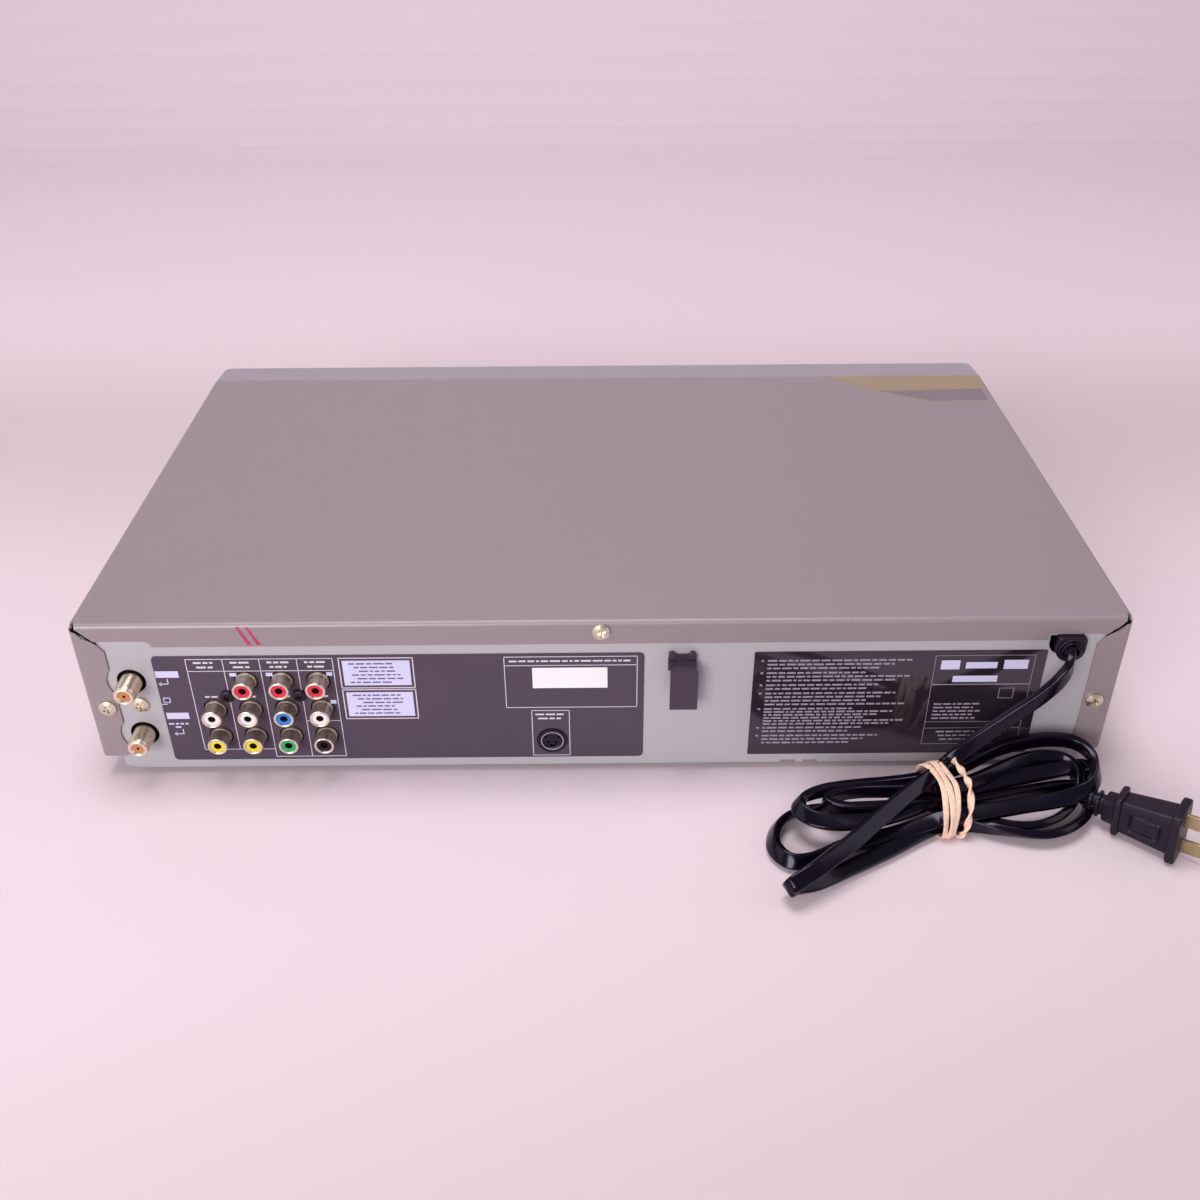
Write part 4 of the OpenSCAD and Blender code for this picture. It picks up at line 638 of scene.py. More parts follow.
# %% Band
WAIST = [(9.5, 0.9), (12.0, 4.0), (10.6, 12.0), (5.0, 20.6), (-2.0, 22.6), (-9.6, 21.9),
         (-13.2, 17.5), (-12.9, 9.0), (-8.5, 2.2), (-3.0, 0.9), (3.5, 0.7)]
BAND_RINGS, BAND_STEPS, SECTION_POINTS = 160, 16, 12
LOWEST, SOFT_BELOW = 0.1, 0.4


def superellipse(wave, half, power):
    """A cosine or sine with its sign kept and its size raised to a power: 1 gives a circle, and
    less than 1 squares its corners."""
    return np.sign(wave) * np.abs(wave) ** power * half


def band_turn(shell, at, slant, twists, wide, thick, grow):
    """One closed turn: at is its place along the hank, slant how far it leans over its height.
    The waist is a smooth loop, grown outwards from its middle. The strip's width turns about
    the loop by the twists and a small wave. What would come below the surface is pressed onto
    it: a height under SOFT_BELOW falls off as an exponential towards LOWEST."""
    loop = np.array(WAIST + WAIST[:3])
    line = smooth_line(loop, BAND_STEPS)[BAND_STEPS:BAND_STEPS * (len(WAIST) + 1)]
    line = line[np.linspace(0, len(line) - 1, BAND_RINGS).astype(int)]
    centre = line.mean(axis=0)
    out = (line - centre) / np.linalg.norm(line - centre, axis=1, keepdims=True)
    line = line + out * grow
    t = np.linspace(0, 2 * math.pi, BAND_RINGS, endpoint=False)
    along = at + slant * (line[:, 1] - centre[1]) / 10 + 0.35 * np.sin(3 * t + at)
    points = from_hank(np.stack([along, line[:, 0], line[:, 1]], axis=-1))
    ahead = np.roll(points, -1, axis=0) - np.roll(points, 1, axis=0)
    ahead /= np.linalg.norm(ahead, axis=1, keepdims=True)
    axis = np.array([math.cos(HANK_TURN), math.sin(HANK_TURN), 0])
    side = axis - ahead * (ahead @ axis)[:, None]
    side /= np.linalg.norm(side, axis=1, keepdims=True)
    outward = np.cross(ahead, side)
    turn = twists * t + 0.25 * np.sin(5 * t)
    a = np.linspace(0, 2 * math.pi, SECTION_POINTS, endpoint=False)
    w = superellipse(np.cos(a), wide, 0.6)[None, :, None] / 2
    h = superellipse(np.sin(a), thick, 0.8)[None, :, None] / 2
    wide_way = np.cos(turn)[:, None] * side + np.sin(turn)[:, None] * outward
    thin_way = np.cross(ahead, wide_way)
    rings = points[:, None] + w * wide_way[:, None] + h * thin_way[:, None]
    height, fall = rings[..., 2], SOFT_BELOW - LOWEST
    pressed = LOWEST + fall * np.exp((height - SOFT_BELOW) / fall)
    rings[..., 2] = np.where(height < SOFT_BELOW, pressed, height)
    shell.tube(rings, closed=True)


band_shell = Shell()
band_turn(band_shell, 6.0, -0.5, 0, 2.5, 0.9, 0.5)
band_turn(band_shell, 3.7, -0.9, 0, 2.6, 0.9, 0.9)
band_turn(band_shell, 1.5, -1.2, 0, 2.4, 0.9, 0.6)
band_turn(band_shell, -3.4, -2.0, 7, 3.0, 1.2, 1.2)
rubber_band = band_shell.piece("rubber_band", latex, sharp=60, slot="band_rubber")
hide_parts("hank_band")

# %% [markdown]
# ## The plug
#
# A moulded plug is one lump of vinyl: a flange to press on, a body that narrows away from it with a
# sunk grip on each wide side, and a ribbed tail that bends with the cord. It is a row of rounded
# rectangles carried along the plug's own X, which the blades point along. Each station on the way
# is its x, half its height, half its thickness and how square it is.

# %% Plug outline and flanges
PLUG_AT = (-228.3, 180.6, 11.81)
PLUG = (
    Matrix.Translation(PLUG_AT)
    @ Matrix.Rotation(math.radians(142), 4, "Z")
    @ Matrix.Rotation(math.radians(-5), 4, "Y")
)
FLANGE = [(-1.9, 10.9, 8.2, 7), (-1.6, 11.5, 8.8, 8), (-1.0, 11.7, 9.0, 8), (1.2, 11.7, 9.0, 8),
          (1.7, 11.4, 8.7, 8), (1.9, 10.6, 8.0, 7)]
REAR = [(-24.1, 8.4, 5.7, 6), (-23.7, 9.2, 6.4, 7), (-23.2, 9.35, 6.5, 7), (-21.9, 9.35, 6.5, 7),
        (-21.5, 9.1, 6.3, 7), (-21.3, 8.6, 5.8, 6)]
COLLAR = [(-28.9, 4.8, 4.0, 4), (-28.5, 5.4, 4.6, 5), (-28.1, 5.5, 4.7, 5), (-24.5, 5.7, 4.9, 5),
          (-23.5, 6.2, 5.2, 5)]
TAIL = [(-37.2, 3.7, 2.2, 3.4), (-36.8, 4.0, 2.5, 3.4), (-28.5, 4.3, 3.2, 3.2)]
RIB = [(-0.8, 4.6, 3.6, 3), (-0.5, 5.3, 4.2, 3.4), (0.5, 5.3, 4.2, 3.4), (0.8, 4.6, 3.6, 3)]


def rounded_ring(half_tall, half_thick, square, count):
    """Points round a rectangle with round corners: a superellipse whose power is 2 / square."""
    a = np.linspace(0, 2 * math.pi, count, endpoint=False)
    y = superellipse(np.cos(a), half_thick, 2 / square)
    z = superellipse(np.sin(a), half_tall, 2 / square)
    return np.stack([y, z], axis=-1)


def lofted(stations, count=96):
    """Rings along X, one rounded ring at each station."""
    rings = [np.insert(rounded_ring(*size, count), 0, x, axis=1) for x, *size in stations]
    return np.array(rings)


plug_shell = Shell()
ribs = [[(x + at, *size) for at, *size in RIB] for x in (-31.2, -34.1)]
for stations in (FLANGE, REAR, COLLAR, *ribs, TAIL):
    plug_shell.tube(lofted(stations))

# %% [markdown]
# The body between them is one long loft, fine enough to be dented. Each dent is worked out from
# the distance to the edge of a rounded rectangle on the wide sides: a narrow groove along that
# edge, a shallow panel inside it, and a fine knurl on the panel.

# %% Plug body with its grips
BODY_FROM, BODY_TO, BODY_RINGS, BODY_POINTS = -22.0, -1.5, 110, 192
GRIP_AT, GRIP_LONG, GRIP_TALL, GRIP_ROUND = -11.4, 5.9, 3.9, 1.4
body_x = np.linspace(BODY_FROM, BODY_TO, BODY_RINGS)
# from about 15 by 11 mm at the cord's end to 19 by 14 mm at the flange
share = (body_x + 22.5) / 21
body = lofted([(x, 7.6 + 1.9 * s, 5.3 + 1.5 * s, 6) for x, s in zip(body_x, share)], BODY_POINTS)
past_x = np.maximum(np.abs(body[..., 0] - GRIP_AT) - GRIP_LONG + GRIP_ROUND, 0)
past_z = np.maximum(np.abs(body[..., 2]) - GRIP_TALL + GRIP_ROUND, 0)
edge = np.hypot(past_x, past_z) - GRIP_ROUND
groove = 0.8 * np.exp(-((edge / 0.55) ** 2))
panel = 0.3 / (1 + np.exp(edge * 8))
knurl = 0.08 * np.cos(body[..., 0] * 7) * np.cos(body[..., 2] * 7) / (1 + np.exp((edge + 0.8) * 8))
wide_side = np.abs(body[..., 1]) > 3.5
body[..., 1] -= np.sign(body[..., 1]) * wide_side * (groove + panel + knurl)
plug_shell.tube(body)
plug = plug_shell.piece("mains_plug", plug_plastic, slot="cord_jacket", move=PLUG)
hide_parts("plug_body")

# %% [markdown]
# Each blade is a flat strip with a rounded end and a hole. Its face is a fan of quads between the
# hole and the outline, both sampled at the same angles, so the hole is cut without a boolean.

# %% Blades
BLADE_START, BLADE_END, BLADE_HALF, HALF_THICK, BLADE_EDGE = 1.0, 17.8, 3.15, 0.75, 0.35
HOLE_AT, HOLE_R, BLADE_POINTS, BLADES_APART = 13.6, 1.5, 96, 12.7


def blade(shell, height):
    """A strip round its hole. At each angle the outline's distance from the hole is that of a
    superellipse, nearly square towards the plug and rounder at the free end. The outline is
    drawn in by the edge at both faces, and two rings on the hole close the form."""
    a = np.linspace(0, 2 * math.pi, BLADE_POINTS, endpoint=False)
    c, s = np.cos(a), np.sin(a)
    ahead = np.where(c > 0, BLADE_END - HOLE_AT, HOLE_AT - BLADE_START)
    power = np.where(c > 0, 5.0, 40.0)
    reach = (np.abs(c / ahead) ** power + np.abs(s / BLADE_HALF) ** power) ** (-1 / power)
    face, side = reach - BLADE_EDGE, HALF_THICK - BLADE_EDGE
    rows = [(-HALF_THICK, face), (-side, reach), (side, reach), (HALF_THICK, face),
            (HALF_THICK, HOLE_R), (-HALF_THICK, HOLE_R)]
    flat = np.zeros(BLADE_POINTS)
    rings = [np.stack([HOLE_AT + r * c, flat + y, height + r * s], axis=-1) for y, r in rows]
    shell.tube(rings, closed=True)


blade_shell = Shell()
blade(blade_shell, BLADES_APART / 2)
blade(blade_shell, -BLADES_APART / 2)
blades = blade_shell.piece("mains_blades", blade_metal, slot="blade_brass", move=PLUG)
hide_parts("plug_blades")

tuple(cord_line[0] * MM)
(cord_line * MM).tolist()

# %% [markdown]
# ## The strain relief
#
# Where the cord leaves the panel it is gripped by a short moulded bush: a block with a D outline,
# square above and round below, and three soft rings round the cord, each narrower and further out,
# so it tapers to the cord. The block is its outline at a few depths, the rings are turned.

# %% Strain relief
RELIEF_X, RELIEF_Z, RELIEF_POINTS = -190.4, 64.7, 120
RELIEF_HALF, RELIEF_ABOVE, RELIEF_BELOW = 6.0, 5.2, 6.4
RELIEF_DEPTHS = [(118.4, -1.6), (127.0, -1.4), (127.2, -0.1), (127.5, 0), (130.4, 0),
                 (130.9, -0.2), (131.1, -0.7)]
RELIEF_RINGS = [(5.0, 131.5, 0.4), (3.9, 132.1, 0.4), (2.9, 132.8, 0.35)]


def bead(r, y, size):
    """A round bead on a profile: nine points of a circle, from its inner side outwards."""
    a = np.linspace(math.pi, -0.4, 9)
    return [(r + size * math.cos(k), y + size * math.sin(k)) for k in a]


def relief_ring(y, grow):
    """The D outline at one depth: a superellipse whose power is low above, which is nearly
    square, and near 1 below, which is nearly round."""
    a = np.linspace(0, 2 * math.pi, RELIEF_POINTS, endpoint=False)
    above = np.sin(a) > 0
    power = np.where(above, 0.22, 0.9)
    x = -0.6 + superellipse(np.cos(a), RELIEF_HALF + grow, power)
    z = superellipse(np.sin(a), np.where(above, RELIEF_ABOVE, RELIEF_BELOW) + grow, power)
    return np.stack([RELIEF_X + x, np.full(RELIEF_POINTS, y), RELIEF_Z + 0.3 + z], axis=-1)


relief_shell = Shell()
relief_shell.tube([relief_ring(y, grow) for y, grow in RELIEF_DEPTHS])
for r, y, lip in RELIEF_RINGS:
    profile = [(r - lip, 130.9), (r - lip, y)] + bead(r, y, lip) + [(r + lip, 130.9)]
    relief_shell.turned(profile, RELIEF_X - 0.5, RELIEF_Z)
strain_relief = relief_shell.piece("strain_relief", black_plastic, slot="black_plastic")
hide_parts("cord_grommet")

# %% [markdown]
# ## Jacks
#
# Phono barrels are drawn from sheet, so each has a small foot at the panel and a rolled rim that
# catches the light. All of them are one profile, turned at each jack's place. The dark disc in
# each mouth is painted shade: it stands where the hole for the pin lies in shadow.

# %% Phono barrels
JACK_X = [162.3, 147.3, 132.3, 117.3]
JACK_Z = [20.7, 35.2, 49.7]
EMPTY = (JACK_X[0], JACK_Z[2])
JACKS = [(x, z) for z in JACK_Z for x in JACK_X if (x, z) != EMPTY]
BARREL = [(3.38, 126.2), (4.45, 126.2), (4.45, 127.8), (4.3, 128.2), (4.0, 128.5), (3.92, 134.4),
          (3.38, 134.4)]
RIM = [(3.12, 134.3), (3.12, 134.8)] + bead(3.66, 134.8, 0.5) + [(4.15, 134.2), (4.0, 133.9)]


def washer(inner, outer, low, high):
    """The profile of a flat ring between two depths. A disc is a ring with a tiny hole."""
    return [(inner, low), (outer, low), (outer, high), (inner, high)]


phono_shell, rim_shell, pin_shade_shell = Shell(), Shell(), Shell()
for x, z in JACKS:
    phono_shell.turned(BARREL, x, z)
    rim_shell.turned(RIM, x, z)
    # a black disc in each pin's hole: painted shade
    pin_shade_shell.turned(washer(0.02, 1.62, 134.0, 134.2), x, z, 32)
phono_barrels = phono_shell.piece("phono_sleeves", barrel_metal, slot="nickel")
rim_shell.piece("phono_rims", rim_metal, slot="nickel")
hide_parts("phono_barrels")

# %% [markdown]
# The aerial barrels are turned from bar, with a fine thread and a bright ring at the mouth. A
# helix would need a seam, and at this size nobody can tell it from rings, so the thread is a
# cosine along the profile. A dark ring is painted shade in the clearance in the orange insulator,
# and a small dark disc is painted shade in the pin's hole.

# %% Aerial barrels
AERIAL_X, AERIAL_Z = 194.7, [22.3, 49.9]
THREAD_FROM, THREAD_TO, THREAD_PITCH = 128.0, 136.4, 0.8
thread_y = np.arange(THREAD_FROM, THREAD_TO, 0.1)
thread_r = 4.4 + 0.13 * np.cos((thread_y - THREAD_FROM) * 2 * math.pi / THREAD_PITCH)
thread = list(zip(thread_r, thread_y))
AERIAL = [(3.6, 126.2), (4.5, 126.2)] + thread + [(4.45, 136.6), (4.3, 137.0), (3.6, 137.0)]
MOUTH = [(2.5, 137.52), (2.6, 137.7)] + bead(3.35, 137.7, 0.7)
MOUTH += [(4.2, 137.5), (4.4, 137.1), (4.3, 136.8)]
aerial_shell, mouth_shell, gap_shade_shell = Shell(), Shell(), Shell()
for z in AERIAL_Z:
    aerial_shell.turned(AERIAL, AERIAL_X, z)
    mouth_shell.turned(MOUTH, AERIAL_X, z)
    # a black disc in the mouth: painted shade in the pin's hole
    pin_shade_shell.turned(washer(0.02, 0.6, 137.4, 137.56), AERIAL_X, z, 24)
    # a dark ring: painted shade in the clearance in the insulator
    gap_shade_shell.turned(washer(4.52, 5.95, 126.25, 126.5), AERIAL_X, z)
# the pin discs of both kinds of jack, painted shade in their holes
pin_shade_shell.piece("pin_hole_shade", painted_shade_black, slot="black_plastic")
aerials = aerial_shell.piece("aerial_sleeves", aerial_metal, slot="nickel")
mouth_shell.piece("aerial_mouths", rim_metal, slot="nickel")
gap_shade_shell.piece("aerial_gap_shade", painted_shade_black, slot="black_plastic")
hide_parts("aerial_barrels")

# %% [markdown]
# ## Printed labels
#
# The labels carry thin printed rules and pale panels. They could be painted in a material, but a
# plate a few hundredths of a millimetre thick keeps its edge sharp from any distance. Lines of
# small print are only rows of short bars of uneven length, which say nothing.

# %% Ways to print
LABEL_Y, SUNK, INK = 127.45, 0.02, 0.04


def inked(rectangles, name, material, slot="label_film", low=-SUNK, high=INK):
    """Rectangles (x0, x1, z0, z1) printed on the rear labels, as boxes from low to high."""
    x, z = np.sort([r[:2] for r in rectangles], axis=1), np.array([r[2:] for r in rectangles])
    y = np.broadcast_to([LABEL_Y + low, LABEL_Y + high], x.shape)
    shell = Shell()
    shell.boxes(np.stack([x, y, z], axis=-1))
    return shell.piece(name, material, slot=slot)


def across(x0, x1, z, line=0.32):
    """A rule along X, its width centred on z."""
    return (min(x0, x1), max(x0, x1), z - line / 2, z + line / 2)


def down(x, z0, z1, line=0.32):
    """A rule along Z, its width centred on x."""
    return (x - line / 2, x + line / 2, z0, z1)


def rule_box(x0, x1, z0, z1, line=0.32):
    """Four rules round a box. The level ones reach over its corners."""
    x0, x1 = sorted((x0, x1))
    h = line / 2
    level = [across(x0 - h, x1 + h, z, line) for z in (z0, z1)]
    return level + [down(x, z0, z1, line) for x in (x0, x1)]


def small_print(x0, x1, z, seed, tall=0.75):
    """A row of bars like words, from x0 down to x1 (X falls to the right as the jacks are seen)."""
    random = np.random.default_rng(seed)
    bars = []
    x = x0
    while x > x1 + 1:
        word = random.uniform(1.2, 4.4)
        end = max(x - word, x1)
        bars.append((end, x, z - tall / 2, z + tall / 2))
        x = end - 0.7
    return bars


# %% [markdown]
# Round the jacks, white rules make a table: a column for each jack, and boxes for the other
# sockets, with a row of small print in each head.

# %% Rules on the jack label
rules = [across(170.6, 110.4, 61.0), across(170.6, 110.4, 54.9), across(170.6, 140.4, 13.1),
         across(140.4, 110.4, 8.9), across(125.0, 110.4, 28.4)]
for x, low in ((170.6, 13.1), (155.5, 13.1), (140.4, 8.9), (125.0, 8.9), (110.4, 8.9)):
    rules.append(down(x, low, 61.0))
rules += rule_box(40.0, -14.8, 34.6, 60.9) + [across(40.0, -14.8, 56.5)]
rules += rule_box(29.5, 13.7, 8.4, 32.9)
rules += rule_box(107.9, 77.5, 45.7, 61.0, 0.45) + rule_box(107.9, 77.5, 29.4, 44.7, 0.45)
for column, left in enumerate((170.6, 155.5, 140.4, 125.0)):
    rules += small_print(left - 3, left - 12, 59.2, column, 0.9)
    rules += small_print(left - 4, left - 11, 56.9, 9 + column, 0.9)
for column, x in enumerate(JACK_X):
    rules += small_print(x + 3.4, x - 3.4, 41.6, 30 + column, 0.8)
rules += small_print(28, 15, 30.8, 50, 0.8) + small_print(27, 16, 28.6, 51, 0.8)
rules += small_print(38, -12, 58.7, 52, 0.8)
inked(rules, "label_rules", white_ink)

# %% [markdown]
# Pale fields, chips and marks lie between the rules: two bent arrows beside the aerials, whose
# heads are four bars that get shorter, and a small box for a symbol. The two large fields carry
# dark small print, and a white sticker is left blank.

# %% Panels, chips and arrows
panels = [(106.6, 78.8, 47.0, 59.7), (106.6, 78.8, 30.7, 43.4)]
chips = [(184.2, 174.6, 51.8, 55.1), (183.6, 174.2, 30.0, 33.3), (153.6, 150.8, 52.2, 53.9),
         (138.6, 135.8, 52.2, 53.9), (113.6, 111.2, 52.2, 53.9), (113.6, 111.2, 37.6, 39.4)]
arrows = []
for x, z in ((181.6, 48.5), (180.0, 21.9)):
    arrows += [across(x - 1.9, x + 1.7, z, 0.4), down(x - 1.9, z, z + 2.6, 0.4)]
    for k in range(4):
        head, half = x + 0.9 + 0.35 * k, 0.9 - 0.28 * k
        arrows.append((head, head + 0.35, z - half, z + half))
arrows += rule_box(180.6, 183.2, 38.8, 41.2, 0.4) + [across(182, 184.4, 37.9, 0.4)]
arrows += small_print(183.5, 175.3, 27.4, 60, 0.8) + small_print(181, 177, 25.6, 61, 0.8)
inked(panels + chips + arrows, "label_panels", pale_ink)
lines = []
for low, high, seed in ((47.0, 59.7, 70), (30.7, 43.4, 80)):
    for k, z in enumerate(np.linspace(high - 1.6, low + 1.6, 6)):
        left, right = 104 - (seed + k * 7) % 5, 82 + (seed + k * 5) % 6
        lines += small_print(left, right, z, seed + k, 0.7)
inked(lines, "panel_print", dark_ink, low=0, high=2 * INK)
inked([(28.6, -2.5, 44.8, 55.3)], "blank_sticker", paper_white)

# %% [markdown]
# The glossy label has paragraphs down its left side, each with a short mark before it, and framed
# blocks on its right. The lengths of the lines come from a remainder, which looks uneven enough.

# %% Small print on the glossy label
PARAGRAPHS, LOOSE, TIGHT, MARK, SPACE = (3, 3, 2, 4, 6, 2, 3), 1.95, 1.62, 0.45, 0.45
print_bars = []
height = 57.9
for paragraph, count in enumerate(PARAGRAPHS):
    pitch = TIGHT if count == 6 else LOOSE
    print_bars.append((-67.0, -65.9, height - MARK, height + MARK))
    for k in range(count):
        end = -128 + (paragraph * 17 + k * 29) % 23
        print_bars += small_print(-68.5, end, height, 100 + paragraph * 10 + k, 0.85)
        height -= pitch
    height -= SPACE
frames = rule_box(-137.6, -178.6, 45.1, 59.8, 0.22) + rule_box(-137.6, -178.6, 12.9, 44.8, 0.22)
frames += [across(-137.6, -178.6, 21.6, 0.2), across(-137.6, -178.6, 25.0, 0.2)]
frames += rule_box(-166.5, -172.5, 37.6, 42.8, 0.25)
for k in range(5):
    frames += small_print(-140, -160 + 3 * (k % 2), 34.6 - 1.9 * k, 200 + k, 0.75)
for k in range(3):
    frames += small_print(-143 - k, -173 + 2 * k, 19.6 - 2.1 * k, 210 + k, 0.75)
inked(print_bars + frames, "gloss_print", grey_ink, "label_gloss")
fields = [(-150.5, -163.5, 53.2, 56.4), (-146, -164.6, 46.2, 49.4), (-140.2, -148.0, 52.8, 57.4),
          (-166.2, -176.2, 52.8, 57.4)]
inked(fields, "gloss_panels", pale_ink, "label_gloss")

# %% [markdown]
# ## Marks and painted shade on the case
#
# Two strokes of red marker cross the rear flange. A real stroke is wider at one end and never
# quite even, so each is an outline whose middle and width get small seeded steps. At both upper
# corners the folded cover leaves a torn-looking gap that lies in shadow; a thin dark plate there
# is painted shade.

# %% Marker strokes and painted shade in the corner gaps
COVER_REAR, COVER_TOP, SINK = 128.0, 78.5, 0.02
STROKES, STROKE_POINTS = ((146.6, -4.0, 1.7), (142.9, -4.2, 1.5)), 14
GAP = np.array([(213.7, 77.2), (213.7, 75.5), (212.7, 75.2), (207.0, 71.5), (204.6, 69.3),
                (204.9, 69.0), (207.6, 71.0), (211.9, 76.4), (212.3, 77.2)])
stroke_shell, corner_shade_shell = Shell(), Shell()
z, share = np.linspace(77.3, 68.3, STROKE_POINTS), np.linspace(0, 1, STROKE_POINTS)
for left, lean, wide in STROKES:
    random = np.random.default_rng(int(left))
    width = wide * (0.55 + 0.7 * share**0.6) + random.uniform(-0.18, 0.18, STROKE_POINTS)
    middle = left + lean * share + random.uniform(-0.1, 0.1, STROKE_POINTS)
    one, other = np.stack([middle - width / 2, z], -1), np.stack([middle + width / 2, z], -1)
    stroke_shell.plate(np.concatenate([one, other[::-1]]), COVER_REAR - SINK, COVER_REAR + 0.03)
stroke_shell.piece("marker_strokes", red_ink, slot="cover_paint")
# thin dark plates: painted shade in the gaps at the corners
for sign in (-1, 1):
    corner_shade_shell.plate(GAP * [sign, 1], COVER_REAR - SINK, COVER_REAR + 0.04)
corner_shade_shell.piece("corner_gap_shade", painted_shade_black, slot="cover_paint")

# %% [markdown]
# A film sticker with slanted fields sits on the far corner of the top: gold, then silver, with a
# narrow gold border along the silver one. The real sticker is printed, this one is left bare.

# %% Corner sticker
GOLD_FIELD = [(-125.8, -113.1), (-214.6, -112.6), (-210.6, -95.2), (-154.5, -92.9)]
SILVER_FIELD = [(-210.6, -95.2), (-210.3, -80.5), (-179.6, -79.8), (-154.5, -92.9)]
BORDER, BORDER_WIDE = [(-210.3, -79.6), (-179.4, -78.9), (-150.0, -94.2)], 0.9
gold_shell, silver_shell = Shell(), Shell()
gold_shell.plate(GOLD_FIELD, COVER_TOP - SINK, COVER_TOP + 0.04, "xy")
silver_shell.plate(SILVER_FIELD, COVER_TOP - SINK, COVER_TOP + 0.04, "xy")
for a, b in zip(BORDER[:-1], BORDER[1:]):
    strip = [a, b, (b[0], b[1] - BORDER_WIDE), (a[0], a[1] - BORDER_WIDE)]
    gold_shell.plate(strip, COVER_TOP - SINK, COVER_TOP + 0.05, "xy")
gold_shell.piece("corner_sticker_gold", gold_film, slot="cover_paint")
silver_shell.piece("corner_sticker_silver", silver_film, slot="cover_paint")

# %% [markdown]
# ## Finishes on the CAD nodes
#
# A solid whose shape is right stays as it is, and only its material slots are filled. The table
# goes from a finish to its solids. What it doesn't name is replaced by a new piece above.

# %% Assign finishes
FINISH_OF = {
    cover_paint: ["top_cover"],
    panel_paint: ["rear_panel"],
    sheet_metal: ["chassis_pan", "deck_plate", "cage_carrier", "cassette_cage", "tuner_can",
                  "svideo_shell"],
    front_plastic: ["front_panel", "cassette_door", "tray_fascia"],
    button_plastic: [name for name in NODES if name.endswith("_button")],
    rubber: ["feet", "pinch_roller"],
    screw_metal: ["cover_screws"],
    clip_plastic: ["cable_clip"],
    black_plastic: ["jack_screws", "jack_block", "phono_black", "svideo_socket", "supply_reel",
                    "takeup_reel", "loader_frame", "disc_tray", "turntable", "pickup_sled",
                    "clamp_puck"],
    label_film: ["jack_label"],
    label_gloss: ["rear_label"],
    orange_plastic: ["aerial_insulators"],
    red_plastic: ["phono_red"],
    white_plastic: ["phono_white"],
    yellow_plastic: ["phono_yellow"],
    blue_plastic: ["phono_blue"],
    green_plastic: ["phono_green"],
    board_green: ["main_board", "front_board"],
    board_tan: ["power_board"],
    ferrite: ["transformer"],
    drum_metal: ["drum_base", "head_drum"],
    steel: ["capstan", "guide_rods", "traverse_plate"],
    gear_plastic: ["tray_gear"],
    lens_plastic: ["display_lens"],
}
for material, names in FINISH_OF.items():
    for name in names:
        for slot in NODES[name].material_slots:
            slot.material = material
finished = {name for names in FINISH_OF.values() for name in names}
print("plain nodes:", sorted(set(NODES) - finished))

# %% [markdown]
# ## Floor and light
#
# The case stands on a pale pink sweep of paper that curves up far behind it, so no line shows
# where the floor ends. The paper's tones are painted shade: a painted shadow of the case beside
# it, shade towards the camera, and a touch darker far behind. They are in its material, as
# smooth steps along X and Y, and the lamps stay soft.

# %% Paper sweep
SWEEP_HALF, SWEEP_FRONT, SWEEP_FOOT, SWEEP_BEND, SWEEP_TOP = 2600.0, 2400.0, -900, 500, 2600.0


def paper_sweep():
    """A floor that bends up into a wall far beyond the case: a straight line, a quarter of a
    circle and a straight line, drawn out along X."""
    bend = np.linspace(0, math.pi / 2, 16)
    foot = SWEEP_FOOT - SWEEP_BEND * np.sin(bend)
    y = np.concatenate([[SWEEP_FRONT], foot, [SWEEP_FOOT - SWEEP_BEND]])
    z = np.concatenate([[0.0], SWEEP_BEND - SWEEP_BEND * np.cos(bend), [SWEEP_TOP]])
    x = np.array([-SWEEP_HALF, SWEEP_HALF])
    points = np.stack(np.broadcast_arrays(x, y[:, None], z[:, None]), axis=-1).reshape(-1, 3)
    mesh = bpy.data.meshes.new("paper")
    faces = grid_faces(len(y), 2, wrap_columns=False)
    mesh.from_pydata((points * MM).tolist(), [], faces.tolist())
    mesh.materials.append(paper_tones())
    return mesh


def paper_tones():
    """Matt paper: plain round the case, with painted shade beside it, where the case's shadow
    falls, and towards the camera, and a touch of painted shade far behind. Each tone comes in by
    smooth steps."""
    finish = Finish("paper", Roughness=0.9)
    x, y, _ = finish.axes()
    plain, painted_shade, far = tone(221, 202, 211), tone(198, 180, 185), tone(218, 199, 210)
    # painted shade: the case's shadow beside it, a fall of light towards the camera, and darker far
    # behind
    beside = y.rise(-0.42, -0.2) * (1 - y.rise(-0.2, 0.02))
    front = (y - x * 0.25).rise(0.17, 0.4)
    behind = 1 - y.rise(-1.5, -0.42)
    base = finish.mix(beside * 0.85, finish.mix(behind, plain, far), painted_shade)
    finish.set("Base Color", finish.mix(front * 0.85, base, painted_shade))
    return finish.material


paper = bpy.data.objects.new("paper", paper_sweep())
bpy.context.collection.objects.link(paper)
print("paper:", len(paper.data.polygons), "faces")

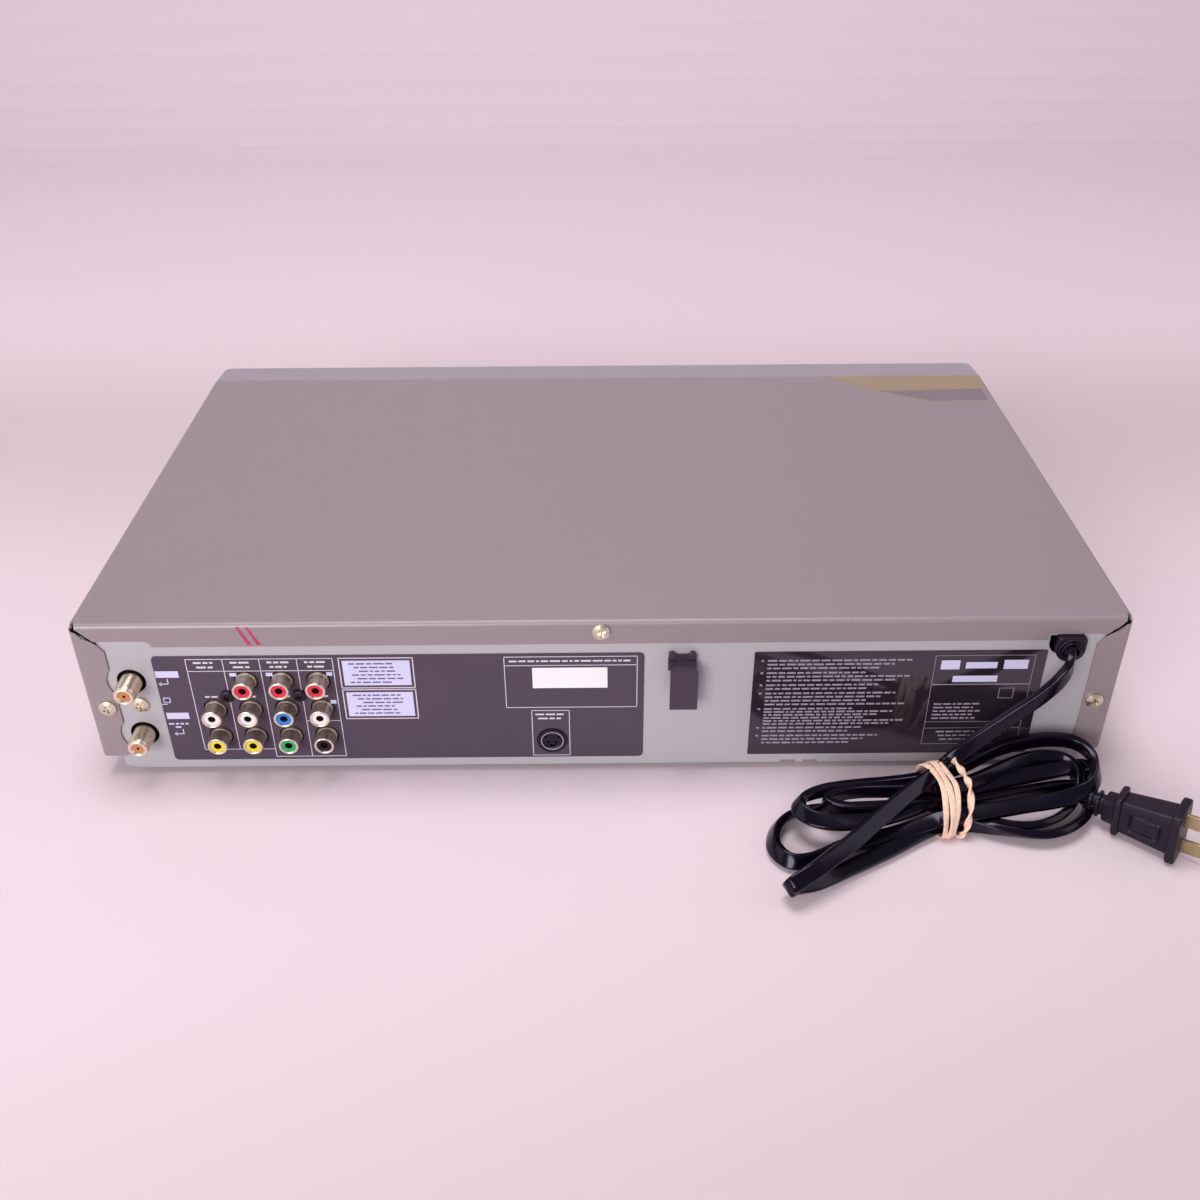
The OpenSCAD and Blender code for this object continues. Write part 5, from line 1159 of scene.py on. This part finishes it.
# %% [markdown]
# Soft panels light the case from above and from both sides, and one from behind the camera opens
# the shadows. They are weak enough that a colour renders about as it is written.

# %% Lamps
LAMPS = {
    "top_light": ((0.15, -0.1, 1.9), (0, 0.05, 0), 0.9, 22, (1, 0.99, 0.99)),
    "camera_light": ((0.8, 1.8, 0.75), (0, 0.1, 0.03), 1.0, 32, (1, 0.99, 0.99)),
    "left_light": ((1.8, 0.2, 0.9), (0, 0, 0.05), 1.4, 5, (1, 0.99, 1)),
    "right_light": ((-1.8, 0.2, 0.9), (0, 0, 0.05), 1.4, 7, (1, 0.99, 1)),
}


def soft_light(name, at, aim, size, power, colour):
    """A square area light that faces a point: its -Z is turned along the way to the aim."""
    data = bpy.data.lights.new(name, "AREA")
    data.shape = "SQUARE"
    data.size = size
    data.energy = power
    data.color = colour
    lamp = bpy.data.objects.new(name, data)
    bpy.context.collection.objects.link(lamp)
    lamp.location = at
    lamp.rotation_euler = Vector(np.subtract(aim, at)).to_track_quat("-Z", "Y").to_euler()


for name, settings in LAMPS.items():
    soft_light(name, *settings)
print("lamps, W:", [settings[3] for settings in LAMPS.values()])

# %% [markdown]
# The room gives a dim even light. Where the camera looks past the paper it sees a pale wall
# instead, which Light Path tells apart, so the wall adds no light.

# %% Room
ROOM_COLOUR, ROOM_STRENGTH = (0.9, 0.88, 0.9, 1), 0.26
world = bpy.data.worlds.new("room")
bpy.context.scene.world = world
world.use_nodes = True
room = world.node_tree
light = room.nodes["Background"]
light.inputs["Color"].default_value = ROOM_COLOUR
light.inputs["Strength"].default_value = ROOM_STRENGTH
seen = room.nodes.new("ShaderNodeBackground")
seen.inputs["Color"].default_value = tone(234, 214, 225) + (1,)
path = room.nodes.new("ShaderNodeLightPath")
either = room.nodes.new("ShaderNodeMixShader")
room.links.new(path.outputs["Is Camera Ray"], either.inputs[0])
room.links.new(light.outputs[0], either.inputs[1])
room.links.new(seen.outputs[0], either.inputs[2])
room.links.new(either.outputs[0], room.nodes["World Output"].inputs["Surface"])
print("room strength:", ROOM_STRENGTH)
